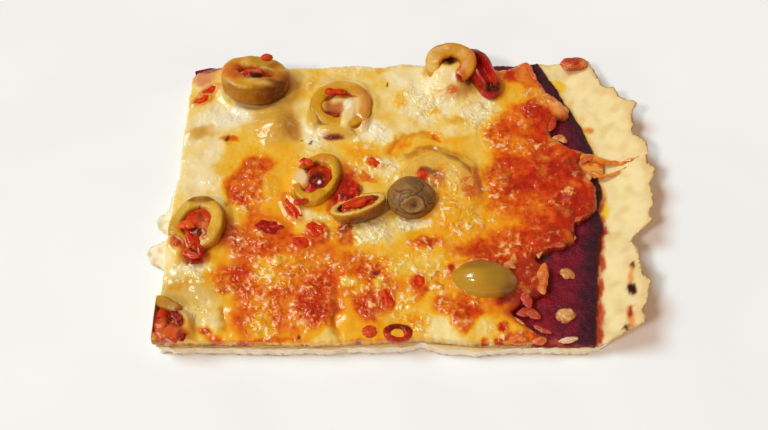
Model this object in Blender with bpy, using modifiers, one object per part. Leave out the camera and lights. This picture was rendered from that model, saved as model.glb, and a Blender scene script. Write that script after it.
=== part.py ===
"""A rectangular slice of sheet pizza, topped with cheese, olive slices, a caper and pimento.

Sizes and places are written in millimetres and turned into metres as each mesh is made. X runs along
the slice's long side, Y goes back from its front cut and Z rises from the table that it lies on.
"""

import math

import bmesh
import bpy
import numpy as np
from mathutils import Euler, Vector, noise

MM = 0.001

# Layers, as heights above the table
GAP = 0.3
DOUGH_TOP = 4.0
SAUCE_BOTTOM = DOUGH_TOP + GAP
SAUCE_TOP = SAUCE_BOTTOM + 0.8
CHEESE_BOTTOM = SAUCE_TOP + GAP
CHEESE_TOP = 7.9

# Where the middle of the slice's box is, in the coordinates that the outlines use
BOX_MIDDLE = (-3.75, 0.25)

# Bare dough at the right end, which thins and curls up from the table
HINGE = 0.8
RIM_THICKNESS = 1.8
TAB_EDGE = -66.9
TAB_DROP = 1.3
BARE_FROM, BARE_TO = 38.0, 64.0
BARE_GRID_X, BARE_GRID_Y = 2.6, 4.0
CURL_POWER = 1.6
CURL_BY_Y = ((-46.0, -42.0, -30.0, -10.0, 10.0, 30.0, 48.0), (2.0, 6.0, 6.5, 6.0, 5.3, 4.5, 2.6))
RIM_BY_Y = [(43.5, -46.4), (54.0, -41.6), (56.8, -30.0), (56.8, -20.0), (62.5, -9.0), (63.6, 5.0),
            (62.8, 20.0), (60.0, 31.0), (55.5, 38.0), (52.2, 47.4)]

# Flaky face of the front cut
FRONT_STRIP = -44.0
FLAKE_HEIGHTS = (1.4, 2.8)
FLAKE_DEPTH = 0.6

# Cheese surface
CHEESE_GRID = 3.0
EDGE_FALL = 1.5
EDGE_FALL_WIDTH = 1.6
SWELL = 0.45
SWELL_SIZE = 8.0
RIPPLE = 0.22
RIPPLE_SIZE = 3.6

# Outlines, counter-clockwise from above, each stretch from one corner of the slice to the next
DOUGH_FRONT = [(-66.0, -46.1), (-30.0, -46.5), (-14.0, -46.0), (-1.5, -45.5), (0.0, -44.7), (2.5, -45.3),
               (7.0, -46.4), (13.0, -46.9), (17.0, -46.3), (31.0, -46.0), (43.5, -46.4)]
DOUGH_RIM = [(43.5, -46.4), (46.2, -44.9), (48.6, -44.1), (52.4, -43.0), (54.8, -41.6), (54.8, -37.6),
             (56.2, -36.0), (57.8, -30.2), (56.6, -28.0), (56.7, -21.5), (55.9, -18.5), (56.5, -16.2),
             (58.8, -13.8), (62.3, -11.7), (61.4, -10.3), (63.2, -6.2), (63.2, 0.0), (65.3, 5.2),
             (63.6, 6.7), (64.4, 14.6), (61.2, 18.9), (62.7, 21.5), (62.1, 24.9), (64.3, 27.9),
             (60.4, 30.2), (58.5, 34.8), (55.5, 35.8), (54.7, 38.6), (53.5, 44.3), (52.2, 47.4)]
DOUGH_BACK = [(52.2, 47.4), (44.0, 47.0), (36.5, 47.6), (30.0, 46.2), (0.0, 45.4), (-30.0, 45.0),
              (-62.0, 45.2), (-66.5, 44.0)]
DOUGH_LEFT = [(-66.5, 44.0), (-66.3, 24.0), (-66.4, 12.0), (-65.8, 4.8), (-68.1, 2.0), (-68.1, -5.2),
              (-71.4, -6.2), (-70.9, -10.2), (-67.4, -11.2), (-67.3, -14.8), (-72.6, -15.6), (-71.8, -20.8),
              (-66.7, -22.4), (-66.2, -34.0), (-66.0, -46.1)]
SAUCE_EDGE = [(43.4, -45.9), (44.9, -35.7), (46.2, -26.2), (47.5, -19.7), (48.5, -14.5), (49.8, -12.1),
              (48.8, -6.1), (51.0, -0.9), (50.1, 5.8), (50.2, 13.4), (48.5, 20.1), (45.2, 28.9),
              (43.8, 31.9), (42.5, 36.5), (39.7, 41.5), (37.4, 46.9)]
SAUCE_REST = [(37.4, 46.9), (34.6, 46.4), (30.0, 45.8), (0.0, 45.0), (-30.0, 44.6), (-62.0, 44.8),
              (-66.0, 43.6), (-65.9, 12.0), (-65.5, -22.0), (-65.6, -45.7), (-30.0, -46.0), (0.0, -44.4),
              (14.0, -46.0), (43.4, -45.9)]
CHEESE_FRONT = [(-65.6, -45.6), (-30.0, -45.9), (-14.0, -45.6), (0.0, -44.6), (14.0, -46.0), (28.0, -45.6)]
CHEESE_EDGE = [(28.0, -45.6), (30.7, -44.0), (27.1, -41.0), (22.8, -37.4), (27.2, -34.4), (31.9, -32.7),
               (33.0, -28.7), (33.4, -23.4), (30.2, -21.9), (35.6, -19.0), (41.0, -17.2), (42.2, -11.4),
               (46.5, -8.8), (48.6, -6.3), (49.6, 0.8), (47.0, 4.2), (45.2, 8.5), (47.8, 12.3),
               (43.3, 14.1), (38.6, 18.3), (39.6, 23.3), (44.8, 24.6), (43.0, 30.7), (40.1, 32.2),
               (37.2, 38.7), (34.4, 45.8)]
CHEESE_BACK = [(34.4, 45.8), (32.5, 46.2), (29.0, 43.4), (25.4, 42.6), (18.0, 43.5), (1.3, 44.7),
               (-5.6, 44.6), (-11.8, 43.6), (-18.1, 44.6), (-27.1, 43.6), (-35.1, 42.9), (-43.2, 44.2),
               (-56.0, 44.0), (-61.5, 42.5), (-65.8, 39.5)]
CHEESE_LEFT = [(-65.8, 39.5), (-65.8, 12.0), (-65.2, 4.8), (-66.0, -3.0), (-65.6, -22.0), (-65.6, -45.6)]

# Swells and dips of the cheese: x, y, half length, half depth, rise
CHEESE_LUMPS = {
    "melted over an olive, back left": (-40.0, 20.5, 4.6, 5.6, 2.6),
    "olive bump at the left edge": (-63.5, 18.0, 3.8, 2.8, 1.1),
    "blistered pool behind the middle": (3.6, 30.0, 6.5, 5.5, 0.5),
    "blistered pool beside it": (14.4, 31.0, 5.0, 4.0, 0.6),
    "golden fold": (3.7, 15.0, 10.0, 2.2, 0.7),
    "smooth pool": (-10.9, 18.5, 4.5, 4.0, 0.6),
    "pool before the half olive": (-11.0, -15.0, 4.5, 4.0, 0.5),
    "bubble on the right": (21.9, 0.0, 3.8, 4.2, 1.2),
    "browned swell on the left": (-44.7, -1.0, 6.5, 8.5, 0.6),
    "browned swell in front": (-26.4, -36.5, 5.0, 4.2, 0.7),
    "red swell on the right": (33.0, -1.0, 10.0, 14.0, 0.6),
    "red swell at the back": (34.7, 26.5, 4.2, 5.0, 0.9),
    "tongue in front": (9.2, -38.0, 6.0, 4.0, 0.7),
    "long crease in front": (-20.7, -40.5, 1.6, 6.5, -0.8),
    "short crease in front": (-48.7, -40.0, 1.4, 4.0, -0.6),
}

# Shreds of cheese that run out over the bare dough: places along each, then the radius there
SHREDS = (
    ((43.0, 11.5, 1.5), (48.0, 10.6, 1.5), (52.4, 9.3, 1.2), (57.0, 8.7, 0.8), (61.6, 9.6, 0.7)),
    ((45.5, 5.5, 1.2), (49.5, 4.4, 1.1), (53.6, 4.9, 0.6), (58.2, 7.3, 0.6)),
)
SHRED_WEB = (48.4, 7.6, 3.4, 3.6, 0.7)

# Pimento strips sunk in the cheese: x, y, half length, half width, turn in degrees
PIMENTO_STRIPS = (
    (-60.6, 32.3, 2.4, 1.5, 35), (-39.2, -13.2, 2.9, 2.0, -15), (-33.9, -7.2, 3.4, 1.4, -60),
    (-27.0, -14.3, 2.3, 1.7, -50), (-30.6, -18.0, 2.2, 1.4, -20), (-11.8, 7.6, 1.8, 1.3, -40),
    (-0.4, -29.5, 1.6, 1.8, 0), (-8.6, -33.5, 1.3, 2.5, 10),
)
STRIP_HEIGHT = 0.9

# Bits of browned cheese on the bare sauce: x, y, half length, half width, half height, turn
SAUCE_BITS = ((38.2, -25.8, 1.9, 1.6, 0.8, -30), (35.2, -38.0, 3.4, 2.1, 1.0, 15),
              (36.4, -44.3, 2.6, 0.8, 0.7, 8))

# Olive slices and their pimento: middle, outer half sizes, height, hole as a share of the radius,
# lean about X and Y and turn about Z in degrees, whether cheese fills the hole
OLIVES = {
    "olive_tall": ((-46.5, 34.6, 11.3), (9.6, 8.4), 7.0, 0.58, (-12, 3, -6), False),
    "olive_back": ((-21.4, 27.4, 8.1), (8.9, 8.8), 3.2, 0.62, (1, 0, 20), True),
    "olive_left": ((-58.2, -13.0, 8.9), (7.3, 8.5), 3.2, 0.58, (2, -9, -14), False),
    "olive_middle": ((-27.4, 1.6, 8.5), (6.2, 8.8), 3.4, 0.60, (-3, -5, -24), False),
    "olive_upright": ((10.2, 39.2, 12.9), (7.4, 6.4), 3.6, 0.50, (42, -10, -10), True),
    "olive_sunken": ((5.6, 0.3, 8.1), (10.3, 9.7), 3.0, 0.56, (2, -2, 10), False),
    "olive_corner": ((-65.0, -40.2, 8.2), (6.7, 6.0), 3.2, 0.58, (5, 3, 0), False),
}
OLIVE_STEPS = 18
OLIVE_BULGE = 1.03
PIMENTO_IN_HOLE = 0.74
PIMENTO_HEIGHT = 0.42

# Other toppings: middle, half sizes and lean about X, Y and Z in degrees
CAPER = ((-1.9, -5.6, 10.5), (6.5, 6.2, 4.2), (0, 0, 0))
CAPER_END = (0.1, -0.72, 0.7)
CAPER_END_WIDTH = 16.0
CAPER_DIMPLE = 0.14
WHOLE_OLIVE = ((16.7, -28.7, 6.3), (8.7, 5.5, 6.0), (0, 0, -8))
HALF_OLIVE = ((-15.9, -8.2, 11.0), (7.6, 5.0, 4.6), (-32, 0, 22))
HALF_OLIVE_WALL = 1.7
HALF_OLIVE_PIMENTO = ((-15.9, -8.2, 11.0), (4.6, 2.4, 1.7), (-32, 0, 22))
PEPPER_CURL = ((19.7, 37.4, 10.7), (8.4, 3.8, 3.5), (0, 10, -66))
PEPPER_GROOVE = ((19.9, 37.2, 14.0), (6.4, 1.5, 2.0), (0, 10, -66))
PIMENTO_TIP = ((-42.8, 38.6, 16.6), (1.9, 1.4, 0.8), (0, 10, 20))
PIMENTO_RING = ((-5.8, -43.4, 7.3), (3.7, 2.4), 2.0, 0.45, (0, 0, 0))
PIMENTO_LOBE = ((-12.7, -43.0, 7.5), (2.2, 1.8, 1.1), (0, 0, 0))
BROWNED_CHUNK = ((47.6, 44.4, 7.3), (4.0, 2.4, 1.3), (0, -6, 0))
LEFT_CUT = -65.7

CHEESE_RGB = (226, 178, 84)
DOUGH_RGB = (238, 214, 162)
SAUCE_RGB = (96, 32, 42)
OLIVE_RGB = (176, 122, 28)
CAPER_RGB = (136, 100, 58)
PIMENTO_RGB = (196, 48, 18)
CHUNK_RGB = (186, 84, 38)


def clear_scene():
    for old in list(bpy.data.objects):
        bpy.data.objects.remove(old)


def collection(name):
    made = bpy.data.collections.new(name)
    bpy.context.scene.collection.children.link(made)
    return made


def linear(rgb):
    """The linear colour of an sRGB one given from 0 to 255."""
    shares = [value / 255 for value in rgb]
    return [s / 12.92 if s <= 0.04045 else ((s + 0.055) / 1.055) ** 2.4 for s in shares]


def material(name, rgb, roughness):
    made = bpy.data.materials.new(name)
    made.use_nodes = True
    shader = made.node_tree.nodes["Principled BSDF"]
    shader.inputs["Base Color"].default_value = (*linear(rgb), 1.0)
    shader.inputs["Roughness"].default_value = roughness
    shader.inputs["Metallic"].default_value = 0.0
    return made


def add_object(name, mesh, group, look=None):
    made = bpy.data.objects.new(name, mesh)
    group.objects.link(made)
    if look:
        made.data.materials.clear()
        made.data.materials.append(look)
    return made


def place(piece, middle, lean=(0, 0, 0)):
    piece.location = Vector(middle) * MM
    piece.rotation_euler = Euler([math.radians(a) for a in lean])
    return piece


def as_cutter(piece):
    piece.hide_render = True
    piece.display_type = "WIRE"
    return piece


def settle(piece):
    """Gives the piece the mesh that its modifiers make, and takes the modifiers off."""
    bpy.context.view_layer.update()
    made = bpy.data.meshes.new_from_object(piece.evaluated_get(bpy.context.evaluated_depsgraph_get()))
    piece.modifiers.clear()
    piece.data = made


def boolean(piece, operation, other):
    cut = piece.modifiers.new(operation.title(), "BOOLEAN")
    cut.operation = operation
    if isinstance(other, bpy.types.Collection):
        cut.operand_type = "COLLECTION"
        cut.collection = other
    else:
        cut.object = other


def fuse(piece, group):
    """Joins everything in the collection to the piece, then removes the collection's objects."""
    boolean(piece, "UNION", group)
    settle(piece)
    for joined in list(group.objects):
        bpy.data.objects.remove(joined)
    bpy.data.collections.remove(group)


def ragged(points, step, amount, seed):
    """The line through these points, divided about every step and pushed sideways unevenly."""
    made = []
    for (x0, y0), (x1, y1) in zip(points, points[1:]):
        length = math.hypot(x1 - x0, y1 - y0)
        parts = max(1, round(length / step))
        for i in range(parts):
            x = x0 + (x1 - x0) * i / parts
            y = y0 + (y1 - y0) * i / parts
            push = amount * noise.noise(Vector((x * 0.45, y * 0.45, seed)))
            made.append((x + push * (y1 - y0) / length, y - push * (x1 - x0) / length))
    return made


def flat_solid(name, outline, low, high):
    """A bmesh of the filled outline between two heights, its caps welded on and each one face."""
    curve = bpy.data.curves.new(name, "CURVE")
    curve.dimensions = "2D"
    curve.fill_mode = "BOTH"
    curve.extrude = (high - low) / 2 * MM
    spline = curve.splines.new("POLY")
    spline.points.add(len(outline) - 1)
    for point, (x, y) in zip(spline.points, outline):
        point.co = (x * MM, y * MM, 0, 1)
    spline.use_cyclic_u = True
    guide = bpy.data.objects.new(name, curve)
    bpy.context.scene.collection.objects.link(guide)
    bpy.context.view_layer.update()
    mesh = bpy.data.meshes.new_from_object(guide.evaluated_get(bpy.context.evaluated_depsgraph_get()))
    bpy.data.objects.remove(guide)
    body = bmesh.new()
    body.from_mesh(mesh)
    bmesh.ops.remove_doubles(body, verts=body.verts, dist=1e-6)
    bmesh.ops.dissolve_limit(body, angle_limit=math.radians(1), verts=[], edges=body.edges)
    bmesh.ops.recalc_face_normals(body, faces=body.faces)
    bmesh.ops.translate(body, verts=body.verts, vec=(0, 0, (low + high) / 2 * MM))
    return body


def divide(body, axis, places, chosen):
    """Cuts the chosen faces along planes across this axis, so that they can bend there."""
    normal = Vector([float(i == axis) for i in range(3)])
    for where in places:
        faces = [face for face in body.faces if chosen(face)]
        edges = {edge for face in faces for edge in face.edges}
        verts = {vert for face in faces for vert in face.verts}
        bmesh.ops.bisect_plane(body, geom=[*faces, *edges, *verts], dist=1e-7,
                               plane_co=normal * where * MM, plane_no=normal)


def finish_slab(name, body, low, high, bottom, top, group, look):
    """Moves each height from between low and high to between bottom(x, y) and top(x, y)."""
    for vert in body.verts:
        x, y, z = vert.co / MM
        share = (z - low) / (high - low)
        vert.co.z = (bottom(x, y) * (1 - share) + top(x, y) * share) * MM
    bmesh.ops.triangulate(body, faces=body.faces)
    mesh = bpy.data.meshes.new(name)
    body.to_mesh(mesh)
    body.free()
    return add_object(name, mesh, group, look)


def across(line, y):
    """The x of a line of points that climb in y."""
    return float(np.interp(y, [p[1] for p in line], [p[0] for p in line]))


def distance_to(outline):
    """A function that gives how far a place is from the closed outline."""
    start = np.array(outline)
    run = np.roll(start, -1, axis=0) - start
    length = (run ** 2).sum(axis=1)

    def measured(x, y):
        away = np.array((x, y)) - start
        share = np.clip((away * run).sum(axis=1) / length, 0, 1)
        return float(np.sqrt(((away - share[:, None] * run) ** 2).sum(axis=1)).min())

    return measured


def wavy(x, y, size, seed):
    return noise.noise(Vector((x / size, y / size, seed)))


def bareness(x, y):
    """0 at the edge of the sauce, 1 at the dough's outer rim."""
    edge = across(SAUCE_EDGE, y) + HINGE
    return min(max((x - edge) / max(across(RIM_BY_Y, y) - edge, 1.0), 0.0), 1.15)


def dough_curl(x, y):
    return float(np.interp(y, *CURL_BY_Y)) * bareness(x, y) ** CURL_POWER


def dough_top(x, y):
    """The dough's upper side: flat below the sauce, curled at the rim, lower on the tabs at the left."""
    bare = min(bareness(x, y) * 4, 1.0)
    tab = TAB_DROP * (1.2 + wavy(x, y, 2.0, 7.0)) if x < TAB_EDGE else 0.0
    return DOUGH_TOP + dough_curl(x, y) + bare * 0.45 * wavy(x, y, 5.0, 3.0) - tab


def dough_bottom(x, y):
    thickness = DOUGH_TOP + (RIM_THICKNESS - DOUGH_TOP) * min(bareness(x, y), 1.0)
    return DOUGH_TOP + dough_curl(x, y) - thickness


def make_dough(group, look):
    outline = []
    for line, step, amount in ((DOUGH_FRONT, 3.0, 0.5), (DOUGH_RIM, 2.5, 0.9), (DOUGH_BACK, 6.0, 0.3),
                               (DOUGH_LEFT, 5.0, 0.3)):
        outline += ragged(line, step, amount, 1.5)
    body = flat_solid("dough", outline, 0.0, DOUGH_TOP)
    divide(body, 0, np.arange(BARE_FROM, BARE_TO, BARE_GRID_X), lambda face: True)
    divide(body, 1, np.arange(FRONT_STRIP, 46.0, BARE_GRID_Y),
           lambda face: face.calc_center_median().x > (BARE_FROM - 0.5) * MM)
    divide(body, 1, (FRONT_STRIP,), lambda face: abs(face.normal.z) > 0.5)
    divide(body, 2, FLAKE_HEIGHTS,
           lambda face: face.normal.y < -0.5 and face.calc_center_median().y < FRONT_STRIP * MM)
    piece = finish_slab("dough", body, 0.0, DOUGH_TOP, dough_bottom, dough_top, group, look)
    for vert in piece.data.vertices:
        x, y, z = vert.co / MM
        if y < FRONT_STRIP - 0.2 and 0.1 < z < DOUGH_TOP - 0.1:
            vert.co.y += MM * (FLAKE_DEPTH / 2 + FLAKE_DEPTH * wavy(x, z * 3, 2.4, 8.0))
    return piece


def make_sauce(group, look):
    outline = ragged(SAUCE_EDGE, 3.0, 0.5, 2.5) + ragged(SAUCE_REST, 8.0, 0.0, 2.5)
    body = flat_solid("sauce", outline, SAUCE_BOTTOM, SAUCE_TOP)
    divide(body, 0, np.arange(22.0, 50.0, 4.0), lambda face: face.normal.z > 0.5)
    divide(body, 1, np.arange(-42.0, 46.0, 4.0),
           lambda face: face.normal.z > 0.5 and face.calc_center_median().x > 21 * MM)

    def top(x, y):
        edge = across(SAUCE_EDGE, y)
        dip = 0.35 * math.exp(-max(edge - x, 0.0) / 1.2) if x > 20.0 else 0.0
        return SAUCE_TOP - dip - 0.12 * abs(wavy(x, y, 4.0, 5.0))

    piece = finish_slab("sauce", body, SAUCE_BOTTOM, SAUCE_TOP, lambda x, y: SAUCE_BOTTOM, top, group, look)
    bits = collection("sauce bits")
    for i, (x, y, length, width, height, turn) in enumerate(SAUCE_BITS):
        blob(f"bit_{i}", (x, y, SAUCE_TOP + 0.3), (length, width, height), (0, 0, turn), bits, 2, i + 0.5)
    fuse(piece, bits)
    return piece


def cheese_height(edge_distance):
    """The function that gives the cheese's height at a place, from its swells, edges and ripples."""
    def height(x, y):
        z = CHEESE_TOP + SWELL * wavy(x, y, SWELL_SIZE, 11.0) + RIPPLE * wavy(x, y, RIPPLE_SIZE, 12.0)
        for lump_x, lump_y, half_x, half_y, rise in CHEESE_LUMPS.values():
            away = ((x - lump_x) / half_x) ** 2 + ((y - lump_y) / half_y) ** 2
            z += rise * math.exp(-1.2 * away)
        return z - EDGE_FALL * math.exp(-edge_distance(x, y) / EDGE_FALL_WIDTH)
    return height


def make_cheese(group, look):
    outline = (ragged(CHEESE_FRONT, 4.0, 0.3, 4.5) + ragged(CHEESE_EDGE, 2.5, 0.7, 4.5)
               + ragged(CHEESE_BACK, 4.0, 0.4, 4.5) + ragged(CHEESE_LEFT, 5.0, 0.2, 4.5))
    body = flat_solid("cheese", outline, CHEESE_BOTTOM, CHEESE_TOP)
    divide(body, 0, np.arange(-64.0, 49.0, CHEESE_GRID), lambda face: face.normal.z > 0.5)
    divide(body, 1, np.arange(-44.2, 46.0, CHEESE_GRID), lambda face: face.normal.z > 0.5)
    height = cheese_height(distance_to(outline))
    piece = finish_slab("cheese", body, CHEESE_BOTTOM, CHEESE_TOP, lambda x, y: CHEESE_BOTTOM, height,
                        group, look)
    extras = collection("cheese extras")
    for i, line in enumerate(SHREDS):
        shred(f"shred_{i}", line, extras)
    x, y, half_x, half_y, half_z = SHRED_WEB
    blob("web", (x, y, CHEESE_BOTTOM + half_z + 0.15), (half_x, half_y, half_z), (0, 0, 0), extras, 2, 9.5)
    for i, (x, y, length, width, turn) in enumerate(PIMENTO_STRIPS):
        middle = (x, y, height(x, y) - 0.15)
        blob(f"strip_{i}", middle, (length, width, STRIP_HEIGHT), (0, 0, turn), extras, 2, i + 20.5)
    fuse(piece, extras)
    return piece


def shred(name, line, group):
    """A strand of cheese that lies on the layers below it, as a tapering tube."""
    curve = bpy.data.curves.new(name, "CURVE")
    curve.dimensions = "3D"
    curve.bevel_depth = MM
    curve.bevel_resolution = 1
    curve.use_fill_caps = True
    curve.resolution_u = 3
    spline = curve.splines.new("BEZIER")
    spline.bezier_points.add(len(line) - 1)
    for point, (x, y, radius) in zip(spline.bezier_points, line):
        floor = max(CHEESE_BOTTOM, dough_top(x, y) + GAP, dough_top(x + radius, y) + GAP)
        point.co = Vector((x, y, floor + radius + 0.1)) * MM
        point.radius = radius
        point.handle_left_type = point.handle_right_type = "AUTO"
    guide = bpy.data.objects.new(name, curve)
    bpy.context.scene.collection.objects.link(guide)
    bpy.context.view_layer.update()
    mesh = bpy.data.meshes.new_from_object(guide.evaluated_get(bpy.context.evaluated_depsgraph_get()))
    bpy.data.objects.remove(guide)
    body = bmesh.new()
    body.from_mesh(mesh)
    bmesh.ops.remove_doubles(body, verts=body.verts, dist=1e-6)
    bmesh.ops.recalc_face_normals(body, faces=body.faces)
    body.to_mesh(mesh)
    body.free()
    return add_object(name, mesh, group)


def blob(name, middle, half_sizes, lean, group, subdivisions, seed, look=None, uneven=0.12, grow=0.0):
    """An uneven lump with these half sizes."""
    body = bmesh.new()
    bmesh.ops.create_icosphere(body, subdivisions=subdivisions, radius=1.0)
    for vert in body.verts:
        swell = 1 + uneven * noise.noise(vert.co * 1.6 + Vector((seed, seed, seed)))
        vert.co = Vector([c * swell * (half + grow) * MM for c, half in zip(vert.co, half_sizes)])
    mesh = bpy.data.meshes.new(name)
    body.to_mesh(mesh)
    body.free()
    return place(add_object(name, mesh, group, look), middle, lean)


def turned(name, profile, group, look=None):
    """A solid turned from a closed profile of (radius, height), which runs down its outer side."""
    mesh = bpy.data.meshes.new(name)
    points = [(radius * MM, 0, height * MM) for radius, height in profile]
    edges = [(i, (i + 1) % len(points)) for i in range(len(points))]
    mesh.from_pydata(points, edges, [])
    piece = add_object(name, mesh, group)
    screw = piece.modifiers.new("Turn", "SCREW")
    screw.angle = 2 * math.pi
    screw.steps = screw.render_steps = OLIVE_STEPS
    screw.use_merge_vertices = False
    settle(piece)
    body = bmesh.new()
    body.from_mesh(piece.data)
    bmesh.ops.remove_doubles(body, verts=body.verts, dist=1e-6)
    bmesh.ops.recalc_face_normals(body, faces=body.faces)
    body.to_mesh(piece.data)
    body.free()
    if look:
        piece.data.materials.append(look)
    return piece


def olive_slice(name, spec, group, look=None, grow=0.0, filled=False):
    """A slice across a pitted olive: a ring with a barrel side, squeezed oval and a little uneven."""
    middle, (half_x, half_y), height, hole, lean = spec[:5]
    radius = (half_x + half_y) / 2
    outer = radius + grow
    inner = hole * radius - grow
    high = height / 2 + grow
    profile = [(outer - 0.7, high), (outer, high - 0.8), (outer * OLIVE_BULGE, 0.1 * high),
               (outer * 0.96, -high)]
    if filled:
        profile += [(0.0, -high), (0.0, high)]
    else:
        profile += [(inner, -high), (inner, high - 0.6), (inner + 0.5, high)]
    piece = turned(name, profile, group, look)
    seed = sum(middle)
    for vert in piece.data.vertices:
        angle = math.atan2(vert.co.y, vert.co.x)
        uneven = 1 + 0.03 * math.cos(2 * angle + seed) + 0.025 * math.cos(3 * angle + 2 * seed)
        vert.co.x *= uneven * half_x / radius
        vert.co.y *= uneven * half_y / radius
    return place(piece, middle, lean)


def cup_half(name, spec, group, look=None, grow=0.0):
    """Half of an ellipsoid, its flat cut facing up before it is leaned."""
    middle, half_sizes, lean = spec
    body = bmesh.new()
    bmesh.ops.create_uvsphere(body, u_segments=16, v_segments=8, radius=1.0)
    cut = bmesh.ops.bisect_plane(body, geom=[*body.verts, *body.edges, *body.faces], dist=1e-6,
                                 plane_co=(0, 0, 0.12), plane_no=(0, 0, 1), clear_outer=True)
    rim = [item for item in cut["geom_cut"] if isinstance(item, bmesh.types.BMEdge)]
    bmesh.ops.contextual_create(body, geom=rim)
    for vert in body.verts:
        vert.co = Vector([c * (half + grow) * MM for c, half in zip(vert.co, half_sizes)])
        vert.co.z += grow * MM * (vert.co.z > 0)
    bmesh.ops.recalc_face_normals(body, faces=body.faces)
    mesh = bpy.data.meshes.new(name)
    body.to_mesh(mesh)
    body.free()
    return place(add_object(name, mesh, group, look), middle, lean)


def left_of_cut(group):
    """A block that takes away what would lie past the slice's left cut."""
    size = 40.0
    body = bmesh.new()
    bmesh.ops.create_cube(body, size=size * MM)
    mesh = bpy.data.meshes.new("left_of_cut")
    body.to_mesh(mesh)
    body.free()
    return as_cutter(place(add_object("left_of_cut", mesh, group), (LEFT_CUT - size / 2, -40.0, 0.0)))


def make_olives(parts, cutters, cheese, olive, pimento):
    """The olive slices, the pimento in them, and their pockets in the cheese."""
    pieces = []
    for number, (name, spec) in enumerate(OLIVES.items()):
        cheese_inside = spec[5]
        pieces.append(olive_slice(name, spec, parts, olive))
        pocket = olive_slice(f"{name}_pocket", spec, cutters, grow=GAP, filled=not cheese_inside)
        boolean(cheese, "DIFFERENCE", as_cutter(pocket))
        if cheese_inside:
            continue
        middle, (half_x, half_y), height, hole, lean = spec[:5]
        share = hole * PIMENTO_IN_HOLE
        pieces.append(blob(name.replace("olive", "pimento"), middle,
                           (share * half_x, share * half_y, height * PIMENTO_HEIGHT), lean, parts, 2,
                           number + 40.5, pimento, 0.3))
    return pieces


def make_caper(parts, cutters, cheese, look):
    """The caper, its pocket in the cheese, and the cutter that keeps its neighbours clear."""
    middle, half_sizes, lean = CAPER
    room = blob("caper_pocket", middle, half_sizes, lean, cutters, 3, 60.5, uneven=0.05, grow=GAP)
    as_cutter(room)
    boolean(cheese, "DIFFERENCE", room)
    bud = blob("caper", middle, half_sizes, lean, parts, 3, 60.5, look, uneven=0.05)
    end = Vector(CAPER_END).normalized()
    for vert in bud.data.vertices:
        away = math.degrees(vert.co.angle(end))
        vert.co *= 1 - CAPER_DIMPLE * math.exp(-(away / CAPER_END_WIDTH) ** 2)
    return bud, room


def make_whole_olive(parts, cutters, cheese, look):
    """An olive cut flat below, lying on its cut."""
    middle, half_sizes, lean = WHOLE_OLIVE
    turned_over = (lean[0] + 180, lean[1], lean[2])
    pocket = cup_half("olive_whole_pocket", (middle, half_sizes, turned_over), cutters, grow=GAP)
    boolean(cheese, "DIFFERENCE", as_cutter(pocket))
    return cup_half("olive_whole", (middle, half_sizes, turned_over), parts, look)


def make_half_olive(parts, cutters, cheese, look, pimento):
    """Half an olive lying on its skin, hollow, with pimento in it."""
    middle, half_sizes, lean = HALF_OLIVE
    boolean(cheese, "DIFFERENCE", as_cutter(cup_half("olive_half_pocket", HALF_OLIVE, cutters, grow=GAP)))
    shell = cup_half("olive_half", HALF_OLIVE, parts, look)
    inside = [half - HALF_OLIVE_WALL for half in half_sizes]
    hollow = blob("olive_half_hollow", middle, inside, lean, cutters, 2, 70.5, uneven=0.0)
    boolean(shell, "DIFFERENCE", as_cutter(hollow))
    return [shell, blob("pimento_half", *HALF_OLIVE_PIMENTO, parts, 2, 71.5, pimento, 0.1)]


def make_pepper(parts, cutters, cheese, look):
    """A curl of dark red pepper at the back, with a groove along it."""
    curl = blob("pepper_curl", *PEPPER_CURL, parts, 3, 80.5, look, 0.15)
    boolean(cheese, "DIFFERENCE",
            as_cutter(blob("pepper_pocket", *PEPPER_CURL, cutters, 3, 80.5, uneven=0.15, grow=GAP)))
    boolean(curl, "DIFFERENCE", as_cutter(blob("pepper_groove", *PEPPER_GROOVE, cutters, 2, 81.5)))
    boolean(curl, "DIFFERENCE", bpy.data.objects["olive_upright_pocket"])
    return curl


def make_pimento_ring(parts, cutters, cheese, look):
    """A ring of pimento at the front cut, with a lobe beside it."""
    ring = olive_slice("pimento_ring", PIMENTO_RING, parts, look)
    boolean(cheese, "DIFFERENCE",
            as_cutter(olive_slice("pimento_ring_pocket", PIMENTO_RING, cutters, grow=GAP)))
    lobe = blob("pimento_lobe", *PIMENTO_LOBE, parts, 2, 90.5, look, 0.1)
    boolean(cheese, "DIFFERENCE",
            as_cutter(blob("pimento_lobe_pocket", *PIMENTO_LOBE, cutters, 2, 90.5, uneven=0.1, grow=GAP)))
    return [ring, lobe]


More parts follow.
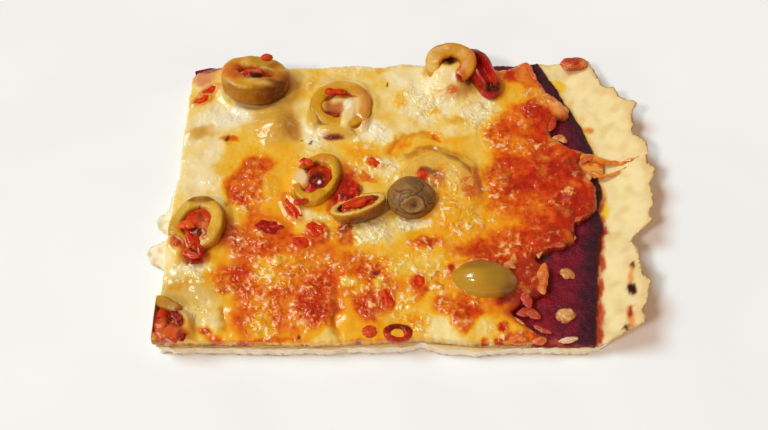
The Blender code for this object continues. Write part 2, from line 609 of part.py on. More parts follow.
def main():
    clear_scene()
    parts = collection("cheese pizza slice")
    cutters = collection("cutters")
    looks = {
        "dough": material("dough", DOUGH_RGB, 0.8),
        "sauce": material("sauce", SAUCE_RGB, 0.4),
        "cheese": material("cheese", CHEESE_RGB, 0.35),
        "olive": material("olive", OLIVE_RGB, 0.3),
        "caper": material("caper", CAPER_RGB, 0.55),
        "pimento": material("pimento", PIMENTO_RGB, 0.3),
        "chunk": material("chunk", CHUNK_RGB, 0.5),
    }
    dough = make_dough(parts, looks["dough"])
    sauce = make_sauce(parts, looks["sauce"])
    cheese = make_cheese(parts, looks["cheese"])
    pieces = [dough, sauce, cheese]
    pieces += make_olives(parts, cutters, cheese, looks["olive"], looks["pimento"])
    caper, caper_room = make_caper(parts, cutters, cheese, looks["caper"])
    boolean(bpy.data.objects["olive_sunken"], "DIFFERENCE", caper_room)
    trimmer = left_of_cut(cutters)
    for name in ("olive_corner", "pimento_corner"):
        boolean(bpy.data.objects[name], "DIFFERENCE", trimmer)
    pieces += [caper, make_whole_olive(parts, cutters, cheese, looks["olive"])]
    pieces += make_half_olive(parts, cutters, cheese, looks["olive"], looks["pimento"])
    pieces += [make_pepper(parts, cutters, cheese, looks["pimento"])]
    pieces += make_pimento_ring(parts, cutters, cheese, looks["pimento"])
    pieces += [blob("pimento_tip", *PIMENTO_TIP, parts, 2, 95.5, looks["pimento"]),
               blob("browned_chunk", *BROWNED_CHUNK, parts, 2, 96.5, looks["chunk"], 0.2)]
    middle = bpy.data.objects.new("slice", None)
    parts.objects.link(middle)
    for piece in [*pieces, *cutters.objects]:
        piece.parent = middle
    middle.location = (-BOX_MIDDLE[0] * MM, -BOX_MIDDLE[1] * MM, 0)


main()
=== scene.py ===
"""The looks of a rectangular slice of sheet pizza: cheese, sauce, dough, olives, a caper and pimento.

Places on the slice are in millimetres, in the coordinates that its outlines use, and are moved to the
middle of the frame's box as each mesh is made. Colour areas are placed by the pixel of the photograph
at which they show, because the camera stands where the photograph's camera stood.
"""

import math

import bmesh
import bpy
import numpy as np
from mathutils import Euler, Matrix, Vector, noise


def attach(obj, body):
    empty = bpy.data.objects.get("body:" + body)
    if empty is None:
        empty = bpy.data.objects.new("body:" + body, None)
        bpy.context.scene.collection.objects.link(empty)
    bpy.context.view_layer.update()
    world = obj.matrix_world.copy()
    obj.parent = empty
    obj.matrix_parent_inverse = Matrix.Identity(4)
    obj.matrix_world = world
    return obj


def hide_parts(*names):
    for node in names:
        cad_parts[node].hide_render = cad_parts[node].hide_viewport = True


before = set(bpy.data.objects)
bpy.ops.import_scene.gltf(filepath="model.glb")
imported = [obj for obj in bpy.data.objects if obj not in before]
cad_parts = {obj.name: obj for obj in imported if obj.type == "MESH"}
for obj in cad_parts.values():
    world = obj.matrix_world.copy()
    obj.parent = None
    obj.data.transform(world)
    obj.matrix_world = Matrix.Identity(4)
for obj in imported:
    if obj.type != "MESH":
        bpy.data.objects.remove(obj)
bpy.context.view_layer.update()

MM = 0.001

# Camera, in millimetres and degrees, and the photograph that it matches, in pixels
BOX_MIDDLE = (-3.75, 0.25)
CAMERA_AT = (-9.15, -131.5, 203.3)
CAMERA_ELEVATION = 58.0
FOCAL_PIXELS = 866.0
PHOTO_WIDTH, PHOTO_HEIGHT = 768, 430
SENSOR_WIDTH = 36.0
CAMERA_COS, CAMERA_SIN = math.cos(math.radians(CAMERA_ELEVATION)), math.sin(math.radians(CAMERA_ELEVATION))
FLOOR_SIZE = 24.0

# How far light spreads under a surface, in millimetres
GLOW_DEPTH = 1.2

# Lights: name, direction towards it, spread in degrees, power, colour, then the glow from all round
LIGHTS = (("window", (-0.84, 0.18, 1.12), 24.0, 2.08, (0.61, 0.89, 1.0)),
          ("lamp", (-0.53, -0.45, 0.72), 8.0, 1.0, (1.0, 1.0, 1.0)))
GLOW_COLOUR, GLOW_STRENGTH = (1.0, 0.62, 0.40, 1.0), 0.44

# Layers, as heights above the table
DOUGH_TOP = 4.0
SAUCE_BOTTOM = 4.0
SAUCE_TOP = 5.1
CHEESE_BOTTOM = 5.0
CHEESE_TOP = 7.9

# Bare dough at the right end
HINGE = 0.8
RIM_THICKNESS = 1.8
TAB_EDGE = -66.9
TAB_DROP = 1.3
CURL_POWER = 1.6
CURL_BY_Y = ((-46.0, -42.0, -30.0, -10.0, 10.0, 30.0, 48.0), (2.0, 6.0, 6.5, 6.0, 5.3, 4.5, 2.6))
RIM_BY_Y = [(43.5, -46.4), (54.0, -41.6), (56.8, -30.0), (56.8, -20.0), (62.5, -9.0), (63.6, 5.0),
            (62.8, 20.0), (60.0, 31.0), (55.5, 38.0), (52.2, 47.4)]

# x beyond which the dough is bare, the sauce shows, and the sauce is grainy
BARE_FROM, SAUCE_SHOWS_FROM, SAUCE_GRAIN_FROM = 40, 27, 18

# Cut front of the dough, painted pale for its crumb and brighter still as painted light: below this height and
# before this y
FRONT_CUT_TOP, FRONT_CUT_Y = 3.9, -42

# Cheese surface
EDGE_FALL, EDGE_FALL_WIDTH = 0.5, 1.0
EDGE_ROUND = 2.6
SWELL, SWELL_SIZE = 0.45, 8.0
RIPPLE, RIPPLE_SIZE = 0.22, 3.6

# x, or y, over which the lumpy red mass on the right and the rounded right and back edges set in
RED_MASS_FROM = (18, 30)
MELTED_FROM_X, MELTED_FROM_Y = (20, 26), (41.0, 43.0)

# Outlines, counter-clockwise from above, each stretch from one corner of the slice to the next
DOUGH_FRONT = [(-66.0, -46.1), (-30.0, -46.5), (-14.0, -46.0), (-1.5, -45.5), (0.0, -44.7), (2.5, -45.3),
               (7.0, -46.4), (13.0, -46.9), (17.0, -46.3), (31.0, -46.0), (43.5, -46.4)]
DOUGH_RIM = [(43.5, -46.4), (46.2, -44.9), (48.6, -44.1), (52.4, -43.0), (54.8, -41.6), (54.8, -37.6),
             (56.2, -36.0), (57.8, -30.2), (56.6, -28.0), (56.7, -21.5), (55.9, -18.5), (56.5, -16.2),
             (58.8, -13.8), (62.3, -11.7), (61.4, -10.3), (63.2, -6.2), (63.2, 0.0), (65.3, 5.2),
             (63.6, 6.7), (64.4, 14.6), (61.2, 18.9), (62.7, 21.5), (62.1, 24.9), (64.3, 27.9),
             (60.4, 30.2), (58.5, 34.8), (55.5, 35.8), (54.7, 38.6), (53.5, 44.3), (52.2, 47.4)]
DOUGH_BACK = [(52.2, 47.4), (44.0, 47.0), (36.5, 47.6), (30.0, 46.2), (0.0, 45.4), (-30.0, 45.0),
              (-62.0, 45.2), (-66.5, 44.0)]
DOUGH_LEFT = [(-66.5, 44.0), (-66.3, 24.0), (-66.4, 12.0), (-65.8, 4.8), (-68.1, 2.0), (-68.1, -5.2),
              (-71.4, -6.2), (-70.9, -10.2), (-67.4, -11.2), (-67.3, -14.8), (-72.6, -15.6), (-71.8, -20.8),
              (-66.7, -22.4), (-66.2, -34.0), (-66.0, -46.1)]
SAUCE_EDGE = [(43.4, -45.9), (44.9, -35.7), (46.2, -26.2), (47.5, -19.7), (48.5, -14.5), (49.8, -12.1),
              (48.8, -6.1), (51.0, -0.9), (50.1, 5.8), (50.2, 13.4), (48.5, 20.1), (45.2, 28.9),
              (43.8, 31.9), (42.5, 36.5), (39.7, 41.5), (37.4, 46.9)]
SAUCE_REST = [(37.4, 46.9), (34.6, 46.4), (30.0, 45.8), (0.0, 45.0), (-30.0, 44.6), (-62.0, 44.8),
              (-66.0, 43.6), (-65.9, 12.0), (-65.5, -22.0), (-65.6, -45.7), (-30.0, -46.0), (0.0, -44.4),
              (14.0, -46.0), (43.4, -45.9)]
CHEESE_FRONT = [(-65.6, -45.6), (-30.0, -45.9), (-14.0, -45.6), (0.0, -44.6), (14.0, -46.0), (28.0, -45.6)]
CHEESE_EDGE = [(28.0, -45.6), (30.7, -44.0), (27.1, -41.0), (22.8, -37.4), (27.2, -34.4), (31.9, -32.7),
               (33.0, -28.7), (33.4, -23.4), (30.2, -21.9), (35.6, -19.0), (41.0, -17.2), (42.2, -11.4),
               (46.5, -8.8), (48.6, -6.3), (49.6, 0.8), (47.0, 4.2), (45.2, 8.5), (47.8, 12.3),
               (43.3, 14.1), (38.6, 18.3), (39.6, 23.3), (44.8, 24.6), (43.0, 30.7), (40.1, 32.2),
               (37.2, 38.7), (34.4, 45.8)]
CHEESE_BACK = [(34.4, 45.8), (32.5, 46.2), (29.0, 43.4), (25.4, 42.6), (18.0, 43.5), (1.3, 44.7),
               (-5.6, 44.6), (-11.8, 43.6), (-18.1, 44.6), (-27.1, 43.6), (-35.1, 42.9), (-43.2, 44.2),
               (-56.0, 44.0), (-61.5, 42.5), (-65.8, 39.5)]
CHEESE_LEFT = [(-65.8, 39.5), (-65.8, 12.0), (-65.2, 4.8), (-66.0, -3.0), (-65.6, -22.0), (-65.6, -45.6)]

# Swells and dips of the cheese: x, y, half length, half depth, rise
CHEESE_LUMPS = {
    "melted over an olive, back left": (-40.0, 20.5, 4.6, 5.6, 2.6),
    "olive bump at the left edge": (-63.5, 18.0, 3.8, 2.8, 1.1),
    "blistered pool behind the middle": (3.6, 30.0, 6.5, 5.5, 0.5),
    "blistered pool beside it": (14.4, 31.0, 5.0, 4.0, 0.6),
    "golden fold": (3.7, 15.0, 10.0, 2.2, 0.7),
    "smooth pool": (-10.9, 18.5, 4.5, 4.0, 0.6),
    "pool before the half olive": (-11.0, -15.0, 4.5, 4.0, 0.5),
    "bubble on the right": (21.9, 0.0, 3.8, 4.2, 1.2),
    "browned swell on the left": (-44.7, -1.0, 6.5, 8.5, 0.6),
    "browned swell in front": (-26.4, -36.5, 5.0, 4.2, 0.7),
    "red swell on the right": (33.0, -1.0, 10.0, 14.0, 0.6),
    "red swell at the back": (34.7, 26.5, 4.2, 5.0, 0.9),
    "tongue in front": (9.2, -38.0, 6.0, 4.0, 0.7),
    "long crease in front": (-20.7, -40.5, 1.6, 6.5, -0.8),
    "short crease in front": (-48.7, -40.0, 1.4, 4.0, -0.6),
}

# Shreds of cheese that run out over the bare dough: places along each, then the radius there
SHREDS = (
    ((43.0, 11.5, 1.3), (48.0, 10.6, 1.3), (52.4, 9.3, 0.9), (57.0, 8.7, 0.6), (61.6, 9.6, 0.4)),
    ((47.5, 7.0, 0.8), (50.5, 4.4, 0.7), (53.6, 4.9, 0.5), (58.2, 7.3, 0.35)),
)
SHRED_WEB = (48.4, 7.6, 3.6, 3.2, 0.45)

# Pimento strips sunk in the cheese: x, y, half length, half width, turn in degrees
PIMENTO_STRIPS = (
    (-60.3, 33.2, 2.4, 1.2, 40), (-62.0, 30.0, 2.2, 1.2, 30), (-39.2, -13.2, 2.9, 2.0, -15),
    (-33.9, -7.2, 3.4, 1.4, -60), (-27.0, -14.3, 2.3, 1.7, -50), (-30.6, -18.0, 2.2, 1.4, -20),
    (-11.8, 7.6, 1.8, 1.3, -40), (-0.4, -29.5, 1.6, 1.8, 0), (-8.6, -33.5, 1.3, 2.5, 10),
)
STRIP_HEIGHT = 0.9
STRIP_SCALE = 1.3
STRIP_RED, DARK_STRIP, DARK_STRIP_NUMBER = (212, 50, 10), (150, 10, 12), 2

# Bits of browned cheese on the bare sauce: x, y, half length, half width, half height, turn, colour
SAUCE_BITS = ((38.2, -25.8, 1.9, 1.6, 0.8, -30, (206, 138, 72)),
              (36.4, -37.6, 2.5, 2.1, 1.0, 15, (214, 152, 82)),
              (36.4, -44.3, 2.6, 0.8, 0.7, 8, (240, 214, 176)))

# Olive slices: middle, outer half sizes, height, hole as a share of the radius, lean about X and Y and
# turn about Z in degrees, whether cheese fills the hole
OLIVES = {
    "olive_tall": ((-46.5, 34.6, 11.3), (9.6, 8.4), 7.0, 0.58, (-12, 3, -6), False),
    "olive_back": ((-21.4, 27.4, 8.1), (8.9, 8.8), 3.2, 0.62, (1, 0, 20), True),
    "olive_left": ((-58.2, -13.0, 8.9), (7.3, 8.5), 3.2, 0.58, (2, -9, -14), False),
    "olive_middle": ((-27.4, 1.6, 8.5), (6.2, 8.8), 3.4, 0.60, (-3, -5, -24), False),
    "olive_upright": ((10.2, 39.2, 12.9), (7.4, 6.4), 3.6, 0.50, (42, -10, -10), True),
    "olive_sunken": ((5.6, 0.3, 8.1), (10.3, 9.7), 3.0, 0.56, (2, -2, 10), False),
    "olive_corner": ((-65.0, -40.2, 8.2), (6.7, 6.0), 3.2, 0.58, (5, 3, 0), False),
}
LEFT_CUT = -65.7
PIMENTO_IN_HOLE = 0.74
PIMENTO_SPREAD = 1.34
PIMENTO_HEIGHT = 0.42

# Other toppings: middle, half sizes and lean about X, Y and Z in degrees
CAPER = ((-1.9, -5.6, 10.5), (6.5, 6.2, 4.2), (0, 0, 0))
CAPER_END = (0.1, -0.72, 0.7)
CAPER_END_WIDTH = 16.0
CAPER_DIMPLE = 0.14
WHOLE_OLIVE = ((16.7, -28.7, 6.3), (8.7, 5.5, 6.0), (0, 0, -8))
HALF_OLIVE = ((-15.9, -8.2, 11.0), (7.6, 5.0, 4.6), (-32, 0, 22))
HALF_OLIVE_WALL = 1.7
HALF_OLIVE_PIMENTO = ((-15.9, -8.2, 11.0), (4.6, 2.4, 1.7), (-32, 0, 22))
PEPPER_CURL = ((19.7, 37.4, 10.7), (8.4, 3.8, 3.5), (0, 10, -66))
PIMENTO_TIP = ((-42.8, 38.6, 16.4), (1.9, 1.4, 0.8), (0, 10, 20))
PIMENTO_RING = ((-5.8, -43.4, 7.3), (3.7, 2.4), 2.0, 0.45, (0, 0, 0), True)
PIMENTO_LOBE = ((-12.7, -43.0, 7.5), (2.2, 1.8, 1.1), (0, 0, 0))
BROWNED_CHUNK = ((47.6, 44.4, 7.3), (4.0, 2.4, 1.3), (0, -6, 0))

# Mesh spacing, and how many points go round and along the rings, tubes and the half olive
DOUGH_PITCH = 0.62
SAUCE_PITCH = 0.5
CHEESE_PITCH = 0.38
RING_STEPS, RING_PROFILE, RING_SQUARENESS = 120, 36, 0.62
TUBE_AROUND, TUBE_STEPS = 20, 10
HALF_AROUND, HALF_ROWS = 128, 36
LUMP_DETAIL, FINE_DETAIL = 5, 6

# Browning of the cheese, from pale to burnt: share, then sRGB
TONES = ((0.00, (243, 227, 184)), (0.12, (240, 214, 150)), (0.28, (236, 186, 66)), (0.42, (238, 162, 16)),
         (0.55, (230, 124, 6)), (0.68, (220, 92, 2)), (0.80, (208, 62, 2)), (0.90, (194, 38, 2)),
         (1.00, (164, 16, 4)))

# Areas of the cheese by browning: u, v, half width, half height, turn in degrees, tone, strength
BROWNING = (
    # broad zones
    (350, 95, 150, 42, 0, 0.15, 0.75), (255, 130, 70, 22, 0, 0.15, 0.6), (285, 275, 66, 72, 0, 0.62, 0.85),
    (372, 285, 44, 52, 0, 0.56, 0.8), (470, 200, 80, 62, 0, 0.42, 0.7), (470, 292, 56, 40, 0, 0.4, 0.8),
    (556, 170, 56, 98, -5, 0.88, 0.9), (505, 265, 46, 44, 0, 0.78, 0.85), (200, 165, 40, 60, 0, 0.09, 0.85),
    (530, 275, 26, 34, 0, 0.94, 0.8), (590, 205, 20, 50, 0, 0.95, 0.7), (505, 80, 26, 20, 0, 0.5, 0.7),
    # back left
    (203, 80, 11, 9, 0, 0.1, 0.6), (226, 117, 28, 13, 0, 0.03, 0.9), (240, 143, 26, 10, 0, 0.3, 0.7),
    (232, 139, 8, 3, 10, 0.66, 0.9), (305, 85, 14, 22, 0, 0.28, 0.7), (303, 108, 9, 10, 0, 0.12, 0.7),
    (312, 134, 14, 13, 30, 0.02, 0.9), (381, 68, 6, 7, 0, 0.52, 0.6), (402, 64, 16, 3, 0, 0.46, 0.7),
    (372, 134, 22, 13, 0, 0.03, 0.95), (345, 130, 18, 8, 0, 0.34, 0.5),
    # back middle
    (408, 76, 16, 11, 0, 0.06, 0.9), (427, 100, 22, 24, 0, 0.08, 0.9), (478, 112, 18, 18, 0, 0.1, 0.9),
    (402, 98, 7, 7, 0, 0.44, 0.7), (434, 112, 7, 4, 0, 0.5, 0.7), (458, 119, 7, 4, 0, 0.55, 0.8),
    (440, 127, 50, 8, 0, 0.2, 0.8), (468, 135, 18, 15, 0, 0.24, 0.7), (405, 141, 10, 5, -35, 0.48, 0.9),
    (430, 136, 16, 4, 5, 0.45, 0.85), (455, 139, 16, 5, -5, 0.42, 0.8), (437, 142, 4, 2.5, 10, 0.76, 0.8),
    (395, 150, 8, 12, 10, 0.52, 0.7), (362, 150, 16, 12, 0, 0.42, 0.7),
    # patch shaped like an arch, on the left
    (258, 178, 42, 38, 0, 0.42, 0.8), (256, 167, 20, 10, -12, 0.7, 0.95), (240, 186, 14, 20, 25, 0.74, 0.95),
    (240, 222, 13, 18, 0, 0.62, 0.7), (243, 200, 10, 14, 0, 0.84, 0.8), (254, 200, 9, 34, 0, 0.66, 0.85),
    (240, 213, 8, 9, 0, 0.22, 0.7), (276, 190, 12, 22, 0, 0.42, 0.85), (284, 165, 10, 18, 0, 0.34, 0.7),
    # left of the middle
    (262, 222, 24, 14, 0, 0.6, 0.7), (285, 240, 34, 14, 0, 0.64, 0.8), (255, 246, 28, 12, 0, 0.66, 0.8),
    (300, 214, 12, 8, 0, 0.16, 0.9), (318, 219, 16, 9, 0, 0.12, 0.8), (270, 252, 14, 7, 0, 0.84, 0.7),
    (315, 236, 16, 9, -20, 0.8, 0.7), (320, 252, 24, 10, 0, 0.52, 0.7), (300, 228, 9, 6, 0, 0.18, 0.8),
    # front left
    (176, 262, 10, 10, 0, 0.2, 0.8), (192, 271, 22, 9, -15, 0.04, 0.9), (190, 292, 32, 16, 5, 0.24, 0.95),
    (160, 255, 13, 24, 0, 0.13, 0.85), (164, 296, 8, 18, 0, 0.18, 0.8), (178, 285, 9, 4, -8, 0.56, 0.8),
    (212, 310, 11, 26, 0, 0.16, 0.9), (198, 318, 14, 10, 20, 0.1, 0.8), (205, 332, 8, 5, 0, 0.88, 0.85),
    (216, 340, 12, 5, 15, 0.72, 0.8),
    # front, between the creases
    (236, 282, 26, 20, 0, 0.74, 0.85), (242, 279, 11, 14, 20, 0.86, 0.7), (225, 291, 7, 7, 0, 0.8, 0.8),
    (283, 277, 32, 16, 0, 0.42, 0.85), (300, 262, 30, 10, 0, 0.4, 0.8), (228, 306, 8, 9, 0, 0.16, 0.7),
    (255, 315, 32, 22, 0, 0.63, 0.85), (285, 310, 16, 22, 10, 0.69, 0.8), (277, 298, 8, 8, 0, 0.84, 0.8),
    (262, 325, 14, 12, -50, 0.3, 0.6), (304, 288, 34, 34, 10, 0.67, 0.7), (316, 300, 16, 22, 15, 0.84, 0.9),
    (325, 280, 8, 14, 20, 0.74, 0.9), (330, 305, 8, 22, 0, 0.7, 0.6), (322, 336, 14, 8, 0, 0.14, 0.9),
    (270, 341, 34, 3, -4, 0.74, 0.9), (243, 342, 4, 3, 0, 0.9, 0.9), (265, 347, 75, 3, 0, 0.26, 0.9),
    (312, 333, 16, 4, -25, 0.5, 0.7),
    # front middle
    (352, 322, 14, 30, 0, 0.4, 0.95), (360, 280, 18, 26, 0, 0.58, 0.85), (375, 270, 22, 12, 0, 0.66, 0.8),
    (376, 273, 5, 9, 10, 0.88, 0.8), (362, 273, 5, 7, 0, 0.86, 0.7), (348, 280, 8, 5, 10, 0.22, 0.8),
    (381, 285, 6, 6, 0, 0.24, 0.9), (372, 305, 18, 15, 0, 0.86, 0.9), (374, 301, 7, 5, 0, 0.7, 0.7),
    (378, 318, 12, 6, 0, 0.8, 0.8), (390, 318, 11, 7, 0, 0.38, 0.9), (415, 268, 28, 15, 0, 0.24, 0.9),
    (408, 290, 20, 16, 0, 0.46, 0.85), (420, 288, 9, 9, 0, 0.7, 0.9), (403, 306, 10, 14, 0, 0.36, 0.8),
    (420, 329, 14, 13, 0, 0.52, 0.85), (422, 331, 9, 8, 0, 0.36, 0.8), (356, 341, 6, 4, 0, 0.76, 0.8),
    (375, 344, 30, 5, 0, 0.44, 0.8), (448, 334, 22, 17, 0, 0.12, 0.95), (430, 302, 8, 14, 0, 0.3, 0.8),
    # tongue and the zone round the whole olive
    (452, 306, 22, 11, 0, 0.66, 0.95), (468, 315, 14, 13, 20, 0.72, 0.95), (461, 325, 9, 11, 0, 0.68, 0.95),
    (470, 309, 11, 7, 15, 0.82, 0.7), (443, 278, 13, 14, 0, 0.54, 0.8), (449, 268, 4, 4, 0, 0.88, 0.9),
    (490, 333, 15, 15, 0, 0.2, 0.9), (470, 346, 44, 4, 0, 0.12, 0.9), (502, 332, 13, 11, 0, 0.5, 0.6),
    (500, 328, 5, 4, -20, 0.9, 0.85), (506, 336, 6, 4, -35, 0.92, 0.85), (485, 343, 4, 5, 0, 0.92, 0.8),
    (498, 344, 4, 4, 0, 0.9, 0.8), (525, 337, 16, 8, 0, 0.74, 0.85), (524, 345, 20, 3, 0, 0.62, 0.7),
    (508, 305, 9, 6, -20, 0.4, 0.9), (515, 320, 16, 5, 15, 0.54, 0.9),
    # middle
    (345, 174, 8, 14, 0, 0.6, 0.7), (388, 166, 12, 8, 0, 0.1, 0.85), (365, 177, 7, 6, 0, 0.8, 0.6),
    (345, 192, 13, 16, 25, 0.97, 0.95), (336, 214, 8, 10, 0, 0.72, 0.6), (374, 230, 19, 14, -15, 0.12, 0.95),
    (390, 236, 16, 13, 0, 0.14, 0.8), (385, 210, 8, 12, 0, 0.16, 0.8), (412, 224, 20, 6, 0, 0.06, 0.9),
    (356, 249, 24, 7, 0, 0.4, 0.6), (400, 250, 20, 10, 0, 0.36, 0.7), (360, 258, 14, 6, 0, 0.66, 0.7),
    (433, 243, 20, 7, 0, 0.68, 0.9), (433, 244, 9, 4, 10, 0.88, 0.85), (455, 230, 26, 12, 0, 0.44, 0.9),
    (448, 255, 22, 8, 0, 0.36, 0.7),
    # right of the middle
    (470, 155, 24, 14, 0, 0.28, 0.8), (499, 178, 14, 15, 0, 0.78, 0.9), (499, 173, 7, 6, 0, 0.55, 0.6),
    (500, 200, 13, 13, 0, 0.8, 0.9), (497, 203, 8, 9, 0, 0.58, 0.6), (484, 192, 6, 14, 0, 0.46, 0.7),
    (498, 219, 22, 8, 0, 0.44, 0.9), (515, 205, 10, 16, 0, 0.6, 0.8), (490, 229, 30, 8, 0, 0.46, 0.9),
    (488, 246, 28, 9, -5, 0.8, 0.9), (505, 237, 14, 10, 0, 0.74, 0.8), (520, 250, 18, 20, 0, 0.82, 0.85),
    # red mass on the right
    (545, 160, 44, 26, 0, 0.82, 0.9), (552, 185, 42, 36, 0, 0.89, 0.95), (565, 195, 22, 36, 0, 0.96, 0.8),
    (535, 205, 20, 18, 0, 0.74, 0.8), (515, 130, 26, 14, 0, 0.7, 0.9), (520, 146, 24, 9, 0, 0.6, 0.8),
    (545, 150, 14, 10, 0, 0.84, 0.7), (555, 240, 12, 8, 0, 0.9, 0.7),
    # back right
    (537, 108, 19, 17, 15, 0.9, 0.95), (520, 95, 14, 8, 0, 0.36, 0.8), (543, 96, 14, 7, 30, 0.34, 0.85),
    (512, 72, 7, 12, 0, 0.86, 0.9), (525, 74, 8, 17, -12, 0.64, 0.95), (520, 111, 7, 10, 0, 0.56, 0.7),
    (561, 109, 11, 9, 20, 0.56, 0.95), (560, 139, 10, 5, 10, 0.52, 0.9), (590, 176, 6, 7, 0, 0.55, 0.9),
    (575, 183, 6, 7, 0, 0.66, 0.7), (570, 236, 9, 5, 0, 0.72, 0.7),
)

# Where pale flecks of cheese stand out, painted paler partly as highlight for their glints: u, v, half width,
# half height, density
FLECKS_AND_GLINTS = (
    (222, 118, 26, 10, 0.5), (275, 130, 24, 12, 0.3), (245, 203, 10, 10, 1.0), (258, 178, 18, 16, 0.3),
    (262, 195, 16, 12, 0.45), (215, 180, 14, 10, 0.35), (236, 232, 10, 12, 1.0), (190, 272, 24, 10, 0.9),
    (198, 315, 14, 12, 0.8), (240, 284, 24, 18, 0.8), (285, 272, 34, 18, 1.0), (255, 246, 28, 12, 0.8),
    (280, 305, 30, 20, 0.8), (262, 326, 18, 14, 1.0), (310, 316, 24, 12, 1.0), (315, 290, 18, 18, 0.8),
    (316, 262, 28, 10, 0.8), (330, 225, 18, 14, 0.8), (305, 160, 14, 10, 0.9), (320, 140, 16, 10, 0.7),
    (312, 85, 8, 10, 0.4), (345, 66, 40, 8, 0.5), (372, 134, 20, 14, 0.8), (425, 100, 28, 22, 0.9),
    (480, 112, 20, 18, 0.9), (455, 68, 6, 8, 0.3), (390, 170, 16, 12, 0.8), (365, 165, 18, 14, 0.7),
    (372, 232, 18, 14, 1.0), (412, 224, 24, 8, 1.0), (448, 190, 30, 22, 1.0), (465, 215, 26, 18, 0.9),
    (430, 245, 26, 8, 0.7), (420, 262, 34, 14, 0.7), (370, 275, 34, 24, 0.8), (372, 302, 20, 16, 0.7),
    (405, 306, 14, 18, 0.9), (422, 326, 14, 14, 0.7), (455, 305, 26, 12, 0.7), (440, 278, 16, 16, 0.9),
    (495, 138, 12, 12, 0.8), (522, 146, 28, 8, 0.7), (540, 98, 22, 10, 0.6), (520, 120, 20, 10, 0.3),
    (500, 190, 14, 22, 0.8), (555, 170, 34, 20, 0.25), (564, 197, 12, 12, 0.7), (540, 205, 22, 12, 0.25),
    (520, 245, 30, 16, 0.5), (545, 235, 20, 12, 0.4), (520, 275, 18, 20, 0.4), (500, 335, 20, 14, 0.5),
    (525, 338, 18, 8, 0.9), (488, 260, 14, 8, 1.0), (463, 272, 10, 16, 0.8), (460, 320, 14, 14, 0.4),
)

# Red juice and sauce that shows through the cheese: u, v, half width, half height, turn, strength
CRIMSON = (
    (208, 68, 11, 4, 0, 0.9), (205, 77, 10, 6, 0, 0.3), (230, 236, 11, 15, -20, 0.75),
    (194, 250, 12, 12, 0, 0.7), (345, 188, 11, 18, 20, 0.95), (348, 205, 10, 8, 0, 0.7),
    (345, 235, 8, 10, 0, 0.7), (366, 176, 6, 5, 0, 0.5), (316, 300, 13, 13, 0, 0.4),
    (374, 308, 13, 13, 0, 0.5), (536, 106, 15, 14, 10, 0.35), (572, 205, 18, 26, 0, 0.45),
    (548, 236, 14, 12, 0, 0.5), (553, 146, 22, 8, 0, 0.35), (508, 298, 14, 9, -20, 0.8),
    (512, 272, 14, 18, 0, 0.35), (181, 336, 5, 7, 0, 0.7), (165, 332, 9, 10, 0, 0.4),
    (472, 182, 8, 14, 0, 0.35),
)
